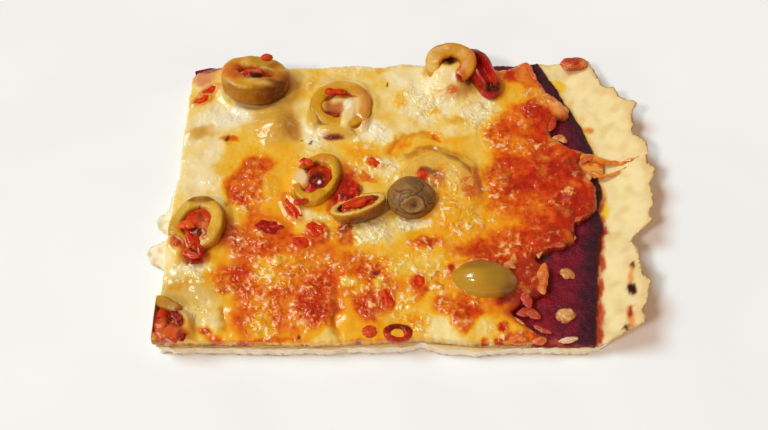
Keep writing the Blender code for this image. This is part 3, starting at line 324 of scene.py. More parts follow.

# Colours of single places on the cheese, some of them painted shade and highlights as noted: u, v, half width,
# half height, turn, sRGB, strength
TOUCHES = (
    # sauce at the back corner, the bulge beside the tall slice
    (206, 68, 14, 5, -5, (120, 20, 44), 0.85), (203, 78, 10, 7, 0, (216, 130, 100), 0.6),
    # the dark red at u 346, v 229 is painted shadow under the half olive
    (262, 118, 12, 10, 0, (216, 160, 60), 0.6), (346, 229, 7, 5, 0, (150, 16, 8), 0.8),
    (214, 150, 9, 12, 10, (246, 230, 196), 0.6), (206, 182, 14, 8, 0, (246, 228, 186), 0.5),
    (232, 118, 20, 7, 0, (248, 234, 206), 0.6), (376, 134, 14, 9, 0, (248, 232, 196), 0.6),
    (292, 128, 7, 14, -15, (170, 100, 20), 0.6), (190, 291, 30, 13, 5, (202, 156, 80), 0.55),
    (228, 139, 9, 2.5, 5, (206, 90, 16), 0.9), (346, 66, 50, 4, 0, (240, 210, 160), 0.5),
    # bits that lie over the edge beside the sauce
    (561, 108, 9, 8, 20, (228, 146, 84), 0.85), (560, 139, 9, 4, 10, (226, 148, 86), 0.85),
    (541, 342, 6, 3.5, 0, (238, 214, 172), 0.85), (590, 176, 6, 5, 0, (228, 150, 96), 0.8),
    (522, 70, 6, 13, -10, (226, 128, 70), 0.6), (511, 72, 3.5, 9, 0, (176, 34, 20), 0.8),
    (565, 197, 5, 5, 0, (226, 130, 110), 0.6), (583, 152, 9, 4, 5, (222, 140, 60), 0.7),
    # between the whole olive and the sauce
    # the dark red at u 508, v 296 is painted shadow at the whole olive's lower right
    (516, 282, 12, 16, 0, (160, 34, 16), 0.8), (508, 296, 12, 6, -20, (110, 14, 20), 0.8),
    (487, 250, 30, 4, -5, (190, 60, 10), 0.7), (528, 300, 10, 12, 0, (150, 24, 26), 0.8),
    (466, 264, 14, 3, -25, (250, 214, 150), 0.5), (458, 278, 4, 12, 0, (250, 196, 110), 0.6),
    # in and over the olive slices, and dark red beside the sauce
    (450, 92, 20, 7, 5, (232, 186, 110), 0.5), (466, 92, 8, 6, 0, (222, 160, 80), 0.6),
    (411, 153, 8, 2.5, -25, (172, 108, 30), 0.7), (430, 148, 14, 2.5, 0, (176, 112, 34), 0.7),
    (452, 154, 12, 2.5, 25, (176, 112, 34), 0.7), (470, 167, 9, 2.5, 45, (180, 104, 30), 0.7),
    (363, 106, 8, 18, 0, (206, 128, 44), 0.8), (336, 130, 19, 5, 8, (216, 162, 56), 0.8),
    (313, 118, 7, 10, 0, (206, 150, 44), 0.7), (345, 207, 9, 8, 0, (176, 24, 14), 0.7),
    (530, 276, 17, 20, 0, (156, 36, 24), 0.5), (546, 272, 6, 20, 0, (124, 20, 30), 0.6),
    (536, 298, 12, 8, -20, (120, 18, 26), 0.6), (552, 232, 10, 8, 0, (150, 26, 22), 0.5),
    (332, 92, 14, 4, -5, (200, 44, 14), 0.95), (344, 94, 5, 4, 20, (214, 84, 30), 0.8),
    (330, 116, 11, 6, 0, (120, 14, 10), 0.95), (322, 104, 9, 6, 0, (216, 150, 50), 0.8),
    (336, 108, 8, 6, 0, (176, 80, 36), 0.8), (350, 110, 7, 16, 22, (240, 210, 150), 0.8),
    # the dark slit at u 335, v 137 is painted shade under the back slice, and the white at u 347, v 104 a
    # painted highlight
    (335, 137, 10, 3, 5, (110, 20, 12), 0.95), (347, 104, 3, 6, 30, (255, 246, 226), 0.7),
    # the near-black at u 448, v 60 is painted shade in the upright slice's hole
    (448, 60, 8, 4.5, 5, (62, 12, 6), 1.0), (444, 74, 11, 8, 20, (238, 208, 150), 0.8),
    # the white at u 454, v 77 is a painted highlight
    (454, 77, 2.5, 5, 0, (255, 250, 238), 0.8), (459, 75, 2.5, 6, 0, (176, 34, 16), 0.9),
    (452, 90, 5, 4, 0, (212, 88, 24), 0.8), (301, 178, 8, 9, 0, (240, 202, 164), 0.8),
    (188, 244, 9, 12, -15, (206, 64, 22), 0.9), (175, 239, 4, 8, 10, (200, 84, 40), 0.8),
    (182, 238, 6, 5, 0, (236, 190, 130), 0.7), (195, 256, 12, 7, 10, (196, 40, 12), 0.85),
    (168, 332, 11, 14, 0, (206, 78, 22), 0.9), (176, 318, 7, 9, -35, (120, 16, 14), 0.9),
    (180, 334, 4, 6, 0, (146, 14, 26), 0.95), (163, 345, 12, 4, 0, (222, 136, 40), 0.8),
    (426, 164, 16, 6, -10, (226, 186, 110), 0.8), (446, 160, 22, 5, 10, (222, 176, 80), 0.8),
    (422, 175, 6, 9, 0, (206, 44, 10), 0.95), (437, 178, 8, 9, 10, (200, 104, 40), 0.9),
    (444, 335, 14, 11, 0, (253, 228, 146), 0.5), (428, 171, 10, 2.5, 20, (120, 66, 30), 0.8),
    (452, 176, 8, 12, 0, (232, 194, 110), 0.7), (470, 186, 9, 10, 0, (206, 84, 26), 0.8),
    (478, 180, 3, 14, -10, (168, 76, 24), 0.8),
)

# Olive skin that shows through thin cheese: u, v, half width, half height, turn, strength
OLIVE_GLIMPSES = (
    (202, 132, 13, 6, 0, 0.8), (275, 124, 22, 20, 10, 0.8), (288, 122, 10, 18, 0, 0.7),
    (170, 306, 12, 6, 0, 0.5), (458, 120, 9, 4, 0, 0.5), (425, 158, 22, 6, 0, 0.45),
    (330, 82, 22, 5, -5, 0.35),
)

# Cheese melted over the olive slices: u, v, half width, half height, turn in degrees, height of its top
COVERS = (
    (176, 244, 12, 13, 0, 10.5), (300, 177, 12, 12, -20, 10.15), (349, 113, 8, 18, 22, 10.1),
    (320, 103, 8, 9, 0, 9.3), (446, 188, 36, 32, 8, 9.9), (426, 172, 12, 12, 0, 9.8),
    (172, 334, 16, 16, 0, 10.0), (182, 318, 7, 12, -30, 9.9), (363, 106, 7, 17, 0, 9.9),
    (336, 129, 18, 5, 8, 9.8), (313, 118, 6, 9, 0, 9.8), (447, 78, 18, 12, 12, 11.6),
    (450, 69, 15, 10, 0, 12.8), (454, 61, 14, 9, 0, 13.6),
)

# Creases between folds of cheese, through pixels: the cheese dips along them and is painted darker there as
# shade
CREASES = (
    ((337, 300), (336, 318), (338, 335), (339, 348)), ((221, 308), (222, 318), (226, 329)),
    ((392, 150), (400, 138), (420, 133), (438, 138)), ((408, 157), (425, 150), (448, 157), (470, 172)),
    ((228, 205), (232, 185), (244, 166), (262, 157)), ((487, 175), (492, 166), (506, 167), (512, 176)),
)

# Burns and dark specks on the cheese: u, v, radius
SPECKS = ((312, 143, 1.6), (302, 142, 1.0), (299, 336, 1.8), (357, 342, 1.6), (386, 86, 1.3), (227, 139, 1.6),
          (191, 263, 2.2), (368, 210, 2.0), (378, 275, 2.4), (205, 334, 2.4))

# Stains on the bare dough: u, v, half width, half height, turn, sRGB, strength
DOUGH_STAINS = (
    (559, 86, 8, 5, 35, (234, 186, 40), 0.9), (604, 210, 5, 9, 0, (238, 190, 40), 0.9),
    (548, 66, 6, 3, 30, (240, 206, 110), 0.6), (588, 131, 5, 3, 25, (214, 120, 30), 0.9),
    (582, 120, 3, 4, 0, (232, 170, 90), 0.5), (632, 289, 4.5, 7, -15, (52, 8, 4), 1.0),
    (633, 265, 3, 3.5, 0, (90, 30, 12), 0.9), (631, 275, 3, 9, 8, (222, 126, 44), 0.7),
    (631, 317, 4, 12, -8, (224, 118, 44), 0.75), (631, 312, 2.5, 6, 10, (140, 34, 12), 0.9),
    (626, 327, 3, 3.2, 0, (60, 24, 14), 0.9), (637, 113, 1.6, 1.6, 0, (80, 50, 40), 0.8),
    (633, 127, 1.5, 1.3, 0, (70, 46, 40), 0.9), (600, 245, 3, 7, 0, (176, 60, 36), 0.9),
    (602, 262, 3, 8, 0, (186, 70, 40), 0.9), (601, 288, 3.5, 9, 0, (182, 66, 38), 0.9),
    (601, 316, 3.5, 12, 0, (190, 76, 44), 0.9), (600, 336, 3, 8, 0, (176, 62, 40), 0.9),
    (604, 196, 3, 9, 0, (226, 160, 80), 0.6), (572, 104, 3, 5, 30, (232, 176, 110), 0.6),
)

# Colours of the olive slices: cut flesh, skin, side of the hole, pale streaks
OLIVE_FLESH = (204, 142, 14)
OLIVE_SKIN = (172, 108, 6)
OLIVE_INNER = (166, 70, 10)
OLIVE_PALE = (230, 182, 60)

# Base, deep and bright colour of pimento, of its paler scraps and of the browned crumb
PIMENTO_RED = ((196, 44, 6), (120, 10, 6), (226, 88, 14))
SCRAP_RED = ((206, 66, 24), (176, 40, 18), (236, 110, 50))
CHUNK_BROWN = ((204, 84, 36), (140, 40, 16), (228, 134, 70))

# Hole of each olive slice, as shares of its radius along and across, and the turn in degrees
HOLES = {
    "olive_tall": (0.50, 0.24, -8), "olive_back": (0.58, 0.50, 0), "olive_left": (0.50, 0.54, 30),
    "olive_middle": (0.62, 0.58, 0), "olive_upright": (0.34, 0.30, 0), "olive_sunken": (0.56, 0.50, 0),
    "olive_corner": (0.52, 0.50, 0),
}

# Colours of each olive slice, some of them painted shade and highlights as noted: u, v, half width, half
# height, turn, sRGB, strength
OLIVE_COLOURS = {
    "olive_tall": (
        # the first three, dark brown on the right side and the lower wall, are painted shade; the pale spot at
        # u 246, v 63 is a painted highlight
        (276, 94, 17, 18, 0, (98, 36, 6), 0.95), (262, 90, 9, 14, 0, (140, 80, 16), 0.6),
        (240, 106, 24, 5, 10, (150, 76, 20), 0.7), (222, 70, 6, 12, 0, (214, 132, 40), 0.8),
        (236, 71, 12, 7, 0, (200, 78, 14), 0.9), (246, 63, 5, 5, 0, (236, 190, 112), 0.7),
        (258, 82, 15, 3, 12, (230, 182, 86), 0.8), (275, 74, 9, 6, 30, (178, 98, 24), 0.8),
        (262, 62, 14, 5, 20, (176, 130, 36), 0.7),
    ),
    "olive_back": (
        (313, 104, 6, 20, 0, (206, 146, 30), 0.8), (336, 84, 18, 4, 0, (214, 160, 50), 0.8),
        (363, 100, 9, 18, 0, (206, 122, 40), 0.9), (334, 128, 18, 5, 10, (218, 168, 56), 0.8),
        (350, 82, 9, 4, 10, (222, 170, 80), 0.7), (310, 122, 5, 5, 0, (190, 110, 20), 0.7),
    ),
    "olive_left": (
        (218, 226, 7, 22, 0, (218, 168, 50), 0.8), (210, 214, 12, 10, 0, (224, 178, 66), 0.7),
        (183, 212, 14, 10, -30, (208, 170, 60), 0.8), (200, 199, 22, 2.5, 0, (122, 72, 14), 0.8),
        (200, 213, 1.8, 10, 0, (130, 60, 14), 0.9), (224, 232, 3, 18, 0, (150, 84, 14), 0.8),
        (206, 248, 14, 4, -20, (196, 140, 34), 0.7), (206, 238, 8, 8, 0, (228, 168, 96), 0.7),
    ),
    "olive_middle": (
        (334, 180, 8, 24, 8, (212, 158, 34), 0.8), (316, 204, 22, 5, -12, (226, 168, 46), 0.9),
        (320, 156, 18, 4, 0, (214, 128, 40), 0.8), (338, 172, 3, 18, 0, (170, 104, 20), 0.7),
        (296, 168, 8, 14, 0, (206, 60, 24), 0.8), (322, 170, 8, 7, 0, (226, 176, 76), 0.8),
    ),
    "olive_upright": (
        (472, 62, 9, 24, 0, (222, 142, 44), 0.8), (455, 42, 12, 7, 0, (206, 138, 40), 0.8),
        (430, 48, 12, 6, -30, (190, 130, 34), 0.8), (462, 76, 4, 10, 0, (196, 60, 24), 0.8),
        (428, 60, 6, 12, 0, (232, 196, 120), 0.6),
    ),
    "olive_sunken": (
        (445, 180, 60, 50, 0, (230, 182, 84), 0.8), (411, 153, 8, 3, -25, (150, 96, 30), 0.8),
        (430, 149, 14, 3, 0, (156, 100, 34), 0.8), (452, 156, 12, 3, 25, (156, 100, 34), 0.8),
        (469, 168, 9, 3, 45, (160, 98, 30), 0.8), (477, 186, 4, 13, 0, (200, 84, 20), 0.8),
        (466, 182, 6, 12, 0, (222, 150, 60), 0.7),
    ),
    "olive_corner": (
        (168, 305, 14, 6, 0, (176, 124, 44), 0.8), (166, 313, 12, 5, 0, (132, 76, 24), 0.7),
        (178, 318, 6, 10, 0, (110, 24, 16), 0.8), (168, 334, 12, 12, 0, (198, 76, 30), 0.9),
    ),
}

# Colours of the stuffing in the slices, the same way, with painted shade in its hollows and painted glints as
# noted
STUFFING_COLOURS = {
    "pimento_tall": (
        # the near-black slit is painted shade, and the pale dot at u 240, v 71 a painted glint
        (257, 76, 10, 3.5, 10, (50, 6, 4), 1.0), (240, 71, 2.5, 2, 0, (250, 206, 176), 0.9),
        (256, 70, 8, 2.5, 10, (216, 108, 70), 0.8), (232, 70, 8, 6, 0, (212, 88, 16), 0.7),
    ),
    "pimento_left": (
        # the near-black slit at u 200, v 231 is painted shade
        (187, 225, 9, 5, -10, (230, 78, 20), 0.9), (200, 231, 9, 3, 5, (70, 6, 8), 1.0),
        (204, 222, 5, 6, 0, (226, 150, 84), 0.7), (194, 242, 9, 8, 0, (196, 30, 16), 0.9),
        (186, 236, 6, 4, 0, (240, 196, 140), 0.7), (200, 216, 2, 8, 0, (140, 50, 20), 0.8),
    ),
    "pimento_middle": (
        # the two near-black hollows are painted shade, and the white dot at u 319, v 182 a painted glint
        (317, 180, 8, 8, 0, (74, 4, 10), 1.0), (299, 193, 7, 8, 0, (88, 4, 14), 1.0),
        (308, 190, 5, 5, -40, (206, 30, 40), 0.9), (306, 164, 9, 6, 0, (222, 66, 16), 0.9),
        (319, 182, 2, 2.4, 0, (255, 246, 240), 1.0), (301, 174, 8, 7, 0, (244, 208, 190), 0.7),
        (306, 200, 12, 5, -10, (200, 36, 20), 0.8),
    ),
    "pimento_sunken": (
        (422, 175, 7, 10, 0, (212, 50, 12), 0.9), (437, 179, 8, 9, 0, (206, 118, 56), 0.9),
        (432, 170, 12, 4, 0, (130, 70, 30), 0.7),
    ),
    "pimento_corner": (
        (176, 316, 8, 9, -40, (96, 8, 12), 0.9), (180, 334, 5, 6, 0, (150, 16, 24), 0.9),
        (166, 330, 8, 12, 0, (208, 82, 30), 0.8),
    ),
}

# Colours of the browned crumb, the same way
CHUNK_COLOURS = ((573, 60, 9, 4.5, 8, (172, 40, 20), 0.9), (566, 66, 6, 3, 0, (226, 130, 66), 0.8),
                 (584, 63, 4, 5, 0, (230, 140, 74), 0.8))

# Colour of the strands over the bare dough, and one that two loose shreds share
STRAND_COLOUR = (228, 136, 44)
PEACH = (228, 160, 96)

# Loose shreds, placed by the pixels that they pass through: pixels, radius in millimetres, height of
# their middle, colour
LOOSE_SHREDS = (
    (((536, 234), (540, 245), (539, 258)), 0.9, 6.9, PEACH),
    (((545, 262), (543, 274), (541, 286), (544, 294)), 1.4, 7.9, (224, 122, 52)),
    (((517, 314), (529, 311), (541, 318)), 1.2, 6.5, (186, 60, 36)),
    (((531, 337), (539, 341), (547, 339)), 1.0, 6.8, (222, 120, 60)),
    (((509, 339), (518, 336), (527, 340)), 0.9, 8.0, (226, 110, 40)),
    (((547, 246), (556, 243), (566, 245)), 1.0, 7.4, (200, 74, 44)),
    (((574, 222), (580, 214), (588, 213)), 1.0, 7.2, (206, 88, 54)),
    (((546, 131), (551, 122), (550, 112)), 1.5, 7.2, (200, 56, 26)),
    (((517, 288), (526, 297), (530, 308)), 1.3, 7.6, (188, 56, 34)),
    (((541, 92), (549, 98), (558, 101)), 1.0, 7.6, (222, 128, 66)),
    (((527, 62), (531, 72), (536, 80)), 0.8, 7.6, (214, 100, 50)),
    (((551, 103), (560, 107), (568, 113)), 1.5, 6.9, (226, 142, 78)),
    (((551, 139), (560, 137), (567, 142)), 1.0, 6.6, (222, 146, 80)),
    (((586, 176), (592, 177)), 1.3, 7.2, PEACH),
    (((580, 163), (587, 158), (594, 156)), 0.9, 7.0, (210, 96, 44)),
    (((574, 180), (582, 186)), 0.9, 7.0, (214, 120, 70)),
    (((562, 236), (570, 238), (576, 236)), 1.1, 6.6, (206, 104, 66)),
    (((502, 303), (508, 305), (514, 301)), 1.2, 6.6, (226, 158, 84)),
    (((503, 318), (514, 321), (526, 326)), 1.1, 7.2, (232, 168, 88)),
    (((515, 340), (526, 337), (537, 341)), 0.9, 6.6, (214, 106, 50)),
    (((519, 276), (526, 272), (530, 280)), 1.0, 7.6, (210, 110, 62)),
    (((504, 270), (509, 262), (516, 268)), 0.9, 8.4, (214, 128, 66)),
    (((534, 325), (542, 330), (552, 333)), 0.6, 5.7, (190, 80, 50)),
)

# Ribbons of pimento and bits of flesh in and over the olive slices, placed the same way
PULP = (
    # left slice
    (((177, 228), (186, 223), (195, 227)), 0.9, 10.9, (230, 84, 22)),
    (((173, 236), (176, 243), (183, 247)), 0.8, 10.4, (210, 84, 40)),
    (((187, 231), (190, 240), (196, 249)), 1.0, 10.7, (204, 44, 14)),
    (((194, 233), (198, 243), (201, 256)), 0.9, 10.4, (190, 30, 12)),
    (((181, 249), (190, 254), (200, 258)), 0.9, 10.1, (216, 74, 30)),
    (((190, 261), (199, 262)), 0.7, 9.0, (176, 34, 12)),
    (((204, 226), (207, 234), (204, 241)), 0.8, 10.8, (226, 158, 90)),
    # middle slice
    (((299, 161), (306, 161), (313, 165)), 0.9, 10.9, (222, 62, 12)),
    (((293, 203), (301, 202), (309, 199)), 0.8, 10.4, (206, 34, 24)),
    # sunken slice
    (((420, 168), (423, 175), (421, 182)), 1.0, 9.5, (212, 46, 10)),
    (((433, 172), (440, 177), (438, 185)), 1.2, 9.3, (206, 116, 50)),
    # corner slice
    (((171, 311), (177, 318), (181, 326)), 1.0, 9.9, (120, 14, 16)),
    (((161, 318), (162, 329), (161, 341)), 1.5, 9.2, (196, 84, 34)),
    (((165, 325), (171, 333), (176, 343)), 1.0, 9.4, (214, 80, 22)),
    (((176, 327), (180, 333), (183, 341)), 0.9, 9.3, (146, 12, 22)),
    # back slice
    (((320, 95), (332, 90), (346, 93)), 0.9, 9.6, (206, 46, 12)),
    (((321, 118), (331, 116), (341, 118)), 0.9, 8.8, (116, 12, 8)),
    # upright slice
    (((457, 71), (461, 82)), 0.6, 12.6, (186, 36, 14)),
)

# Lump of pimento between the middle slice and the half olive: middle, half sizes, turn
CRIMSON_LUMP = ((-18.6, -3.6, 8.9), (2.6, 4.2, 1.0), (0, 0, -25))


def linear(rgb):
    """The linear colour of sRGB ones given from 0 to 255, as an array."""
    shares = np.asarray(rgb, dtype=float) / 255
    return np.where(shares <= 0.04045, shares / 12.92, ((shares + 0.055) / 1.055) ** 2.4)


def smooth(low, high, values):
    share = np.clip((values - low) / (high - low), 0, 1)
    return share * share * (3 - 2 * share)


def noises(x, y, size, seed):
    """Smooth noise at each of the places, from -1 to 1, with features of this size."""
    return np.array([noise.noise((a, b, seed)) for a, b in zip((x / size).tolist(), (y / size).tolist())])


def noises_3d(points, size, seed):
    moved = points / size + seed
    return np.array([noise.noise(p) for p in moved.tolist()])


def cells(x, y, size, seed):
    """How far each place is from the nearest of some scattered points, as a share of their spacing."""
    return np.array([noise.voronoi((a, b, seed))[0][0]
                     for a, b in zip((x / size).tolist(), (y / size).tolist())])


def photo_place(x, y, z):
    """The pixels at which points given in millimetres show."""
    right, back, up = x - CAMERA_AT[0], y - CAMERA_AT[1], z - CAMERA_AT[2]
    depth = back * CAMERA_COS - up * CAMERA_SIN
    u = PHOTO_WIDTH / 2 + FOCAL_PIXELS * right / depth
    v = PHOTO_HEIGHT / 2 - FOCAL_PIXELS * (back * CAMERA_SIN + up * CAMERA_COS) / depth
    return u, v


def on_level(u, v, z):
    """The x and y, in millimetres, of what shows at a pixel and is at this height."""
    side, up = (u - PHOTO_WIDTH / 2) / FOCAL_PIXELS, (PHOTO_HEIGHT / 2 - v) / FOCAL_PIXELS
    far = (CAMERA_AT[2] - z) / (CAMERA_SIN - up * CAMERA_COS)
    return CAMERA_AT[0] + side * far, CAMERA_AT[1] + (CAMERA_COS + up * CAMERA_SIN) * far


def divided(points, step, push_at):
    """The line through these points, divided about every step, each place pushed aside by push_at of it."""
    made = []
    for (x0, y0), (x1, y1) in zip(points, points[1:]):
        length = max(math.hypot(x1 - x0, y1 - y0), 1e-6)
        parts = max(1, round(length / step))
        for i in range(parts):
            x = x0 + (x1 - x0) * i / parts
            y = y0 + (y1 - y0) * i / parts
            push = push_at(x, y)
            made.append((x + push * (y1 - y0) / length, y - push * (x1 - x0) / length))
    return made


def ragged(points, step, amount, seed):
    """The line divided and pushed sideways unevenly."""
    return divided(points, step, lambda x, y: amount * noise.noise((x * 0.45, y * 0.45, seed)))


def eased(outline, rounds):
    """The closed outline with its corners cut back."""
    points = np.array(outline)
    for _ in range(rounds):
        following = np.roll(points, -1, axis=0)
        near, far = 0.75 * points + 0.25 * following, 0.25 * points + 0.75 * following
        points = np.stack([near, far], 1).reshape(-1, 2)
    return [tuple(point) for point in points.tolist()]


def frayed(outline, step, amount, seed):
    """The closed outline with small tears: divided again and pushed in, never out."""
    def tear(x, y):
        depth = 0.5 + noise.noise((x * 1.1, y * 1.1, seed)) + 0.5 * noise.noise((x * 2.6, y * 2.6, seed))
        return -amount * max(depth, 0.0)

    return divided([*outline, outline[0]], step, tear)


def nearest(outline, x, y):
    """Whether each place is inside the closed outline, how far from it, and its nearest point."""
    start = np.array(outline)
    run = np.roll(start, -1, axis=0) - start
    far = np.full(x.shape, np.inf)
    near_x, near_y = np.array(x), np.array(y)
    inside = np.zeros(x.shape, bool)
    for (sx, sy), (rx, ry) in zip(start, run):
        share = np.clip(((x - sx) * rx + (y - sy) * ry) / (rx * rx + ry * ry + 1e-12), 0, 1)
        px, py = sx + share * rx, sy + share * ry
        away = np.hypot(x - px, y - py)
        closer = away < far
        far[closer], near_x[closer], near_y[closer] = away[closer], px[closer], py[closer]
        if ry:
            inside ^= ((sy > y) != (sy + ry > y)) & (x < sx + rx * (y - sy) / ry)
    return inside, far, near_x, near_y


def slab(outline, pitch, top, bottom, rows, wall=None):
    """Vertices and faces of a fine slab over the outline, its edge laid on the outline.

    top and bottom take x, y and the distance from the edge, or bottom is a plain height. wall moves the
    points of the side, and takes their x, y, z, the share of the height and the outward direction.
    """
    points = np.array(outline)
    low, high = points.min(0) - pitch, points.max(0) + pitch
    gx, gy = np.meshgrid(np.arange(low[0], high[0] + pitch, pitch),
                         np.arange(low[1], high[1] + pitch, pitch), indexing="ij")
    shape = gx.shape
    x, y = gx.ravel(), gy.ravel()
    inside, far, near_x, near_y = nearest(outline, x, y)
    snapped = far < 0.5 * pitch
    kept = inside | snapped
    index = np.arange(x.size).reshape(shape)
    corners = np.stack([index[:-1, :-1], index[1:, :-1], index[1:, 1:], index[:-1, 1:]], -1).reshape(-1, 4)
    held = kept[corners]
    count = held.sum(1)
    faces = [tuple(row) for row in corners[count == 4].tolist()]
    for row, ok in zip(corners[count == 3].tolist(), held[count == 3].tolist()):
        faces.append(tuple(corner for corner, good in zip(row, ok) if good))
    used = np.unique(np.concatenate([np.array(face) for face in faces]))
    renumber = np.full(x.size, -1)
    renumber[used] = np.arange(used.size)
    faces = [tuple(renumber[list(face)].tolist()) for face in faces]
    edges = {(face[i], face[(i + 1) % len(face)]) for face in faces for i in range(len(face))}
    rim_edges = [edge for edge in edges if (edge[1], edge[0]) not in edges]
    rim = sorted({vert for edge in rim_edges for vert in edge})
    x, y, far = x[used], y[used], far[used]
    near_x, near_y, snapped = near_x[used], near_y[used], snapped[used]
    on_edge = snapped.copy()
    on_edge[rim] = True
    x, y, far = np.where(on_edge, near_x, x), np.where(on_edge, near_y, y), np.where(on_edge, 0.0, far)

    out_x, out_y = np.zeros(x.size), np.zeros(x.size)
    for a, b in rim_edges:
        for end in (a, b):
            out_x[end] += y[b] - y[a]
            out_y[end] -= x[b] - x[a]
    length = np.hypot(out_x, out_y) + 1e-9
    out_x, out_y = out_x / length, out_y / length

    z_top = top(x, y, far)
    z_bottom = bottom(x, y, far) if callable(bottom) else np.full(x.shape, bottom)
    rim = np.array(rim)
    verts = [np.stack([x, y, z_top], 1)]
    first = x.size
    place_in_rim = {vert: i for i, vert in enumerate(rim.tolist())}
    for row in range(1, rows):
        share = 1 - row / rows
        wx, wy = x[rim], y[rim]
        wz = z_bottom[rim] + (z_top[rim] - z_bottom[rim]) * share
        if wall:
            wx, wy, wz = wall(wx, wy, wz, share, out_x[rim], out_y[rim])
        verts.append(np.stack([wx, wy, wz], 1))
    start_bottom = first + (rows - 1) * rim.size
    verts.append(np.stack([x, y, z_bottom], 1))

    def vert_at(vert, row):
        if row == 0:
            return vert
        if row == rows:
            return start_bottom + vert
        return first + (row - 1) * rim.size + place_in_rim[vert]

    sides = [(vert_at(a, row), vert_at(a, row + 1), vert_at(b, row + 1), vert_at(b, row))
             for a, b in rim_edges for row in range(rows)]
    under = [tuple(start_bottom + vert for vert in reversed(face)) for face in faces]
    return np.concatenate(verts), faces + sides + under


def flat_under(verts, faces, bottom_z):
    """The slab with the fine faces of its flat underside taken out and one plain sheet in their place."""
    low = [i for i, face in enumerate(faces) if all(verts[vert][2] <= bottom_z + 1e-6 for vert in face)]
    dropped = set(low)
    kept = [face for i, face in enumerate(faces) if i not in dropped]
    used = sorted({vert for face in kept for vert in face})
    renumber = {vert: i for i, vert in enumerate(used)}
    body = bmesh.new()
    made = [body.verts.new(verts[vert]) for vert in used]
    for face in kept:
        body.faces.new([made[renumber[vert]] for vert in face])
    open_edges = [edge for edge in body.edges if len(edge.link_faces) == 1]
    bmesh.ops.triangle_fill(body, use_beauty=False, edges=open_edges)
    bmesh.ops.recalc_face_normals(body, faces=body.faces)
    body.verts.index_update()
    out_verts = np.array([vert.co[:] for vert in body.verts])
    out_faces = [tuple(vert.index for vert in face.verts) for face in body.faces]
    body.free()
    return out_verts, out_faces


def add_piece(name, verts, faces, tint, look, slot, *nodes):
    """A mesh of points in millimetres with a colour at each, which rides with the slice for these nodes."""
    mesh = bpy.data.meshes.new(name)
    moved = (np.asarray(verts) - (*BOX_MIDDLE, 0.0)) * MM
    mesh.from_pydata(moved.tolist(), [], faces)
    mesh.update()
    mesh.polygons.foreach_set("use_smooth", [True] * len(mesh.polygons))
    mesh.materials.append(look)
    piece = bpy.data.objects.new(name, mesh)
    bpy.context.scene.collection.objects.link(piece)
    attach(piece, "root")
    if nodes:
        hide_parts(*nodes)
    layer = mesh.color_attributes.new("tint", "FLOAT_COLOR", "POINT")
    values = np.ones((len(verts), 4))
    values[:, :3] = linear(np.clip(tint, 0, 255))
    layer.data.foreach_set("color", values.ravel())
    return piece


def add_joined(name, parts, look, slot):
    """Several meshes, each as points, faces and colours, as one piece."""
    faces, start = [], 0
    for points, some, tint in parts:
        faces += [tuple(vert + start for vert in face) for face in some]
        start += len(points)
    verts, tints = (np.concatenate([part[i] for part in parts]) for i in (0, 2))
    add_piece(name, verts, faces, tints, look, slot)


def add_values(piece, name, values):
    layer = piece.data.attributes.new(name, "FLOAT", "POINT")
    layer.data.foreach_set("value", np.asarray(values, dtype=float))


def turned(x, y, turn):
    """The offset as seen from axes turned by this many degrees."""
    cos, sin = math.cos(math.radians(turn)), math.sin(math.radians(turn))
    return x * cos + y * sin, y * cos - x * sin


def away_from(line, x, y):
    """How far each place is from the line through these points."""
    far = np.full(x.shape, np.inf)
    for (x0, y0), (x1, y1) in zip(line, line[1:]):
        run_x, run_y = x1 - x0, y1 - y0
        share = np.clip(((x - x0) * run_x + (y - y0) * run_y) / (run_x ** 2 + run_y ** 2), 0, 1)
        far = np.minimum(far, np.hypot(x - x0 - share * run_x, y - y0 - share * run_y))
    return far


class Canvas:
    """Masks over vertices, placed by the pixels at which the vertices show, with uneven edges."""

    def __init__(self, verts, wobble, seed):
        x, y, z = verts[:, 0], verts[:, 1], verts[:, 2]
        self.x, self.y = x, y
        self.off_u = wobble * (6.0 * noises(x, y, 7.5, seed + 5) + 5.0 * noises(x, y, 3.2, seed)
                               + 3.4 * noises(x, y, 1.3, seed + 1))
        self.off_v = wobble * (4.5 * noises(x, y, 7.5, seed + 6) + 4.5 * noises(x, y, 3.2, seed + 2)
                               + 3.0 * noises(x, y, 1.3, seed + 3))
        self.at_height(z)

    def at_height(self, z):
        """Places the masks as if every vertex had this height."""
        self.u, self.v = photo_place(self.x, self.y, z)
        self.u, self.v = self.u + self.off_u, self.v + self.off_v

    def oval(self, u, v, half_u, half_v, turn=0.0, soft=0.35):
        along, aside = turned(self.u - u, self.v - v, turn)
        return 1 - smooth(1 - soft, 1 + soft, np.hypot(along / half_u, aside / half_v))

    def line(self, points, width):
        """1 on the line through the pixels, falling to 0 at width from it."""
        return 1 - smooth(0.2 * width, width, away_from(points, self.u, self.v))


def mix(base, colour, share):
    return base + (np.asarray(colour, dtype=float) - base) * np.asarray(share)[:, None]


def painted(count, base, *coats):
    """The base colour at so many vertices, with coats over it: colour, then share at each vertex."""
    tint = np.tile(np.array(base, float), (count, 1))
    for colour, share in coats:
        tint = mix(tint, colour, share)
    return tint


def blotches(points, colour, most, low, high, size, seed):
    """A coat of this colour, none where noise of this size is low and most where it is high."""
    return colour, most * smooth(low, high, noises_3d(points, size, seed))


def paint_spots(tint, canvas, spots, soft=0.5):
    for u, v, half_u, half_v, turn, colour, strength in spots:
        tint = mix(tint, colour, strength * canvas.oval(u, v, half_u, half_v, turn, soft))
    return tint


# Materials

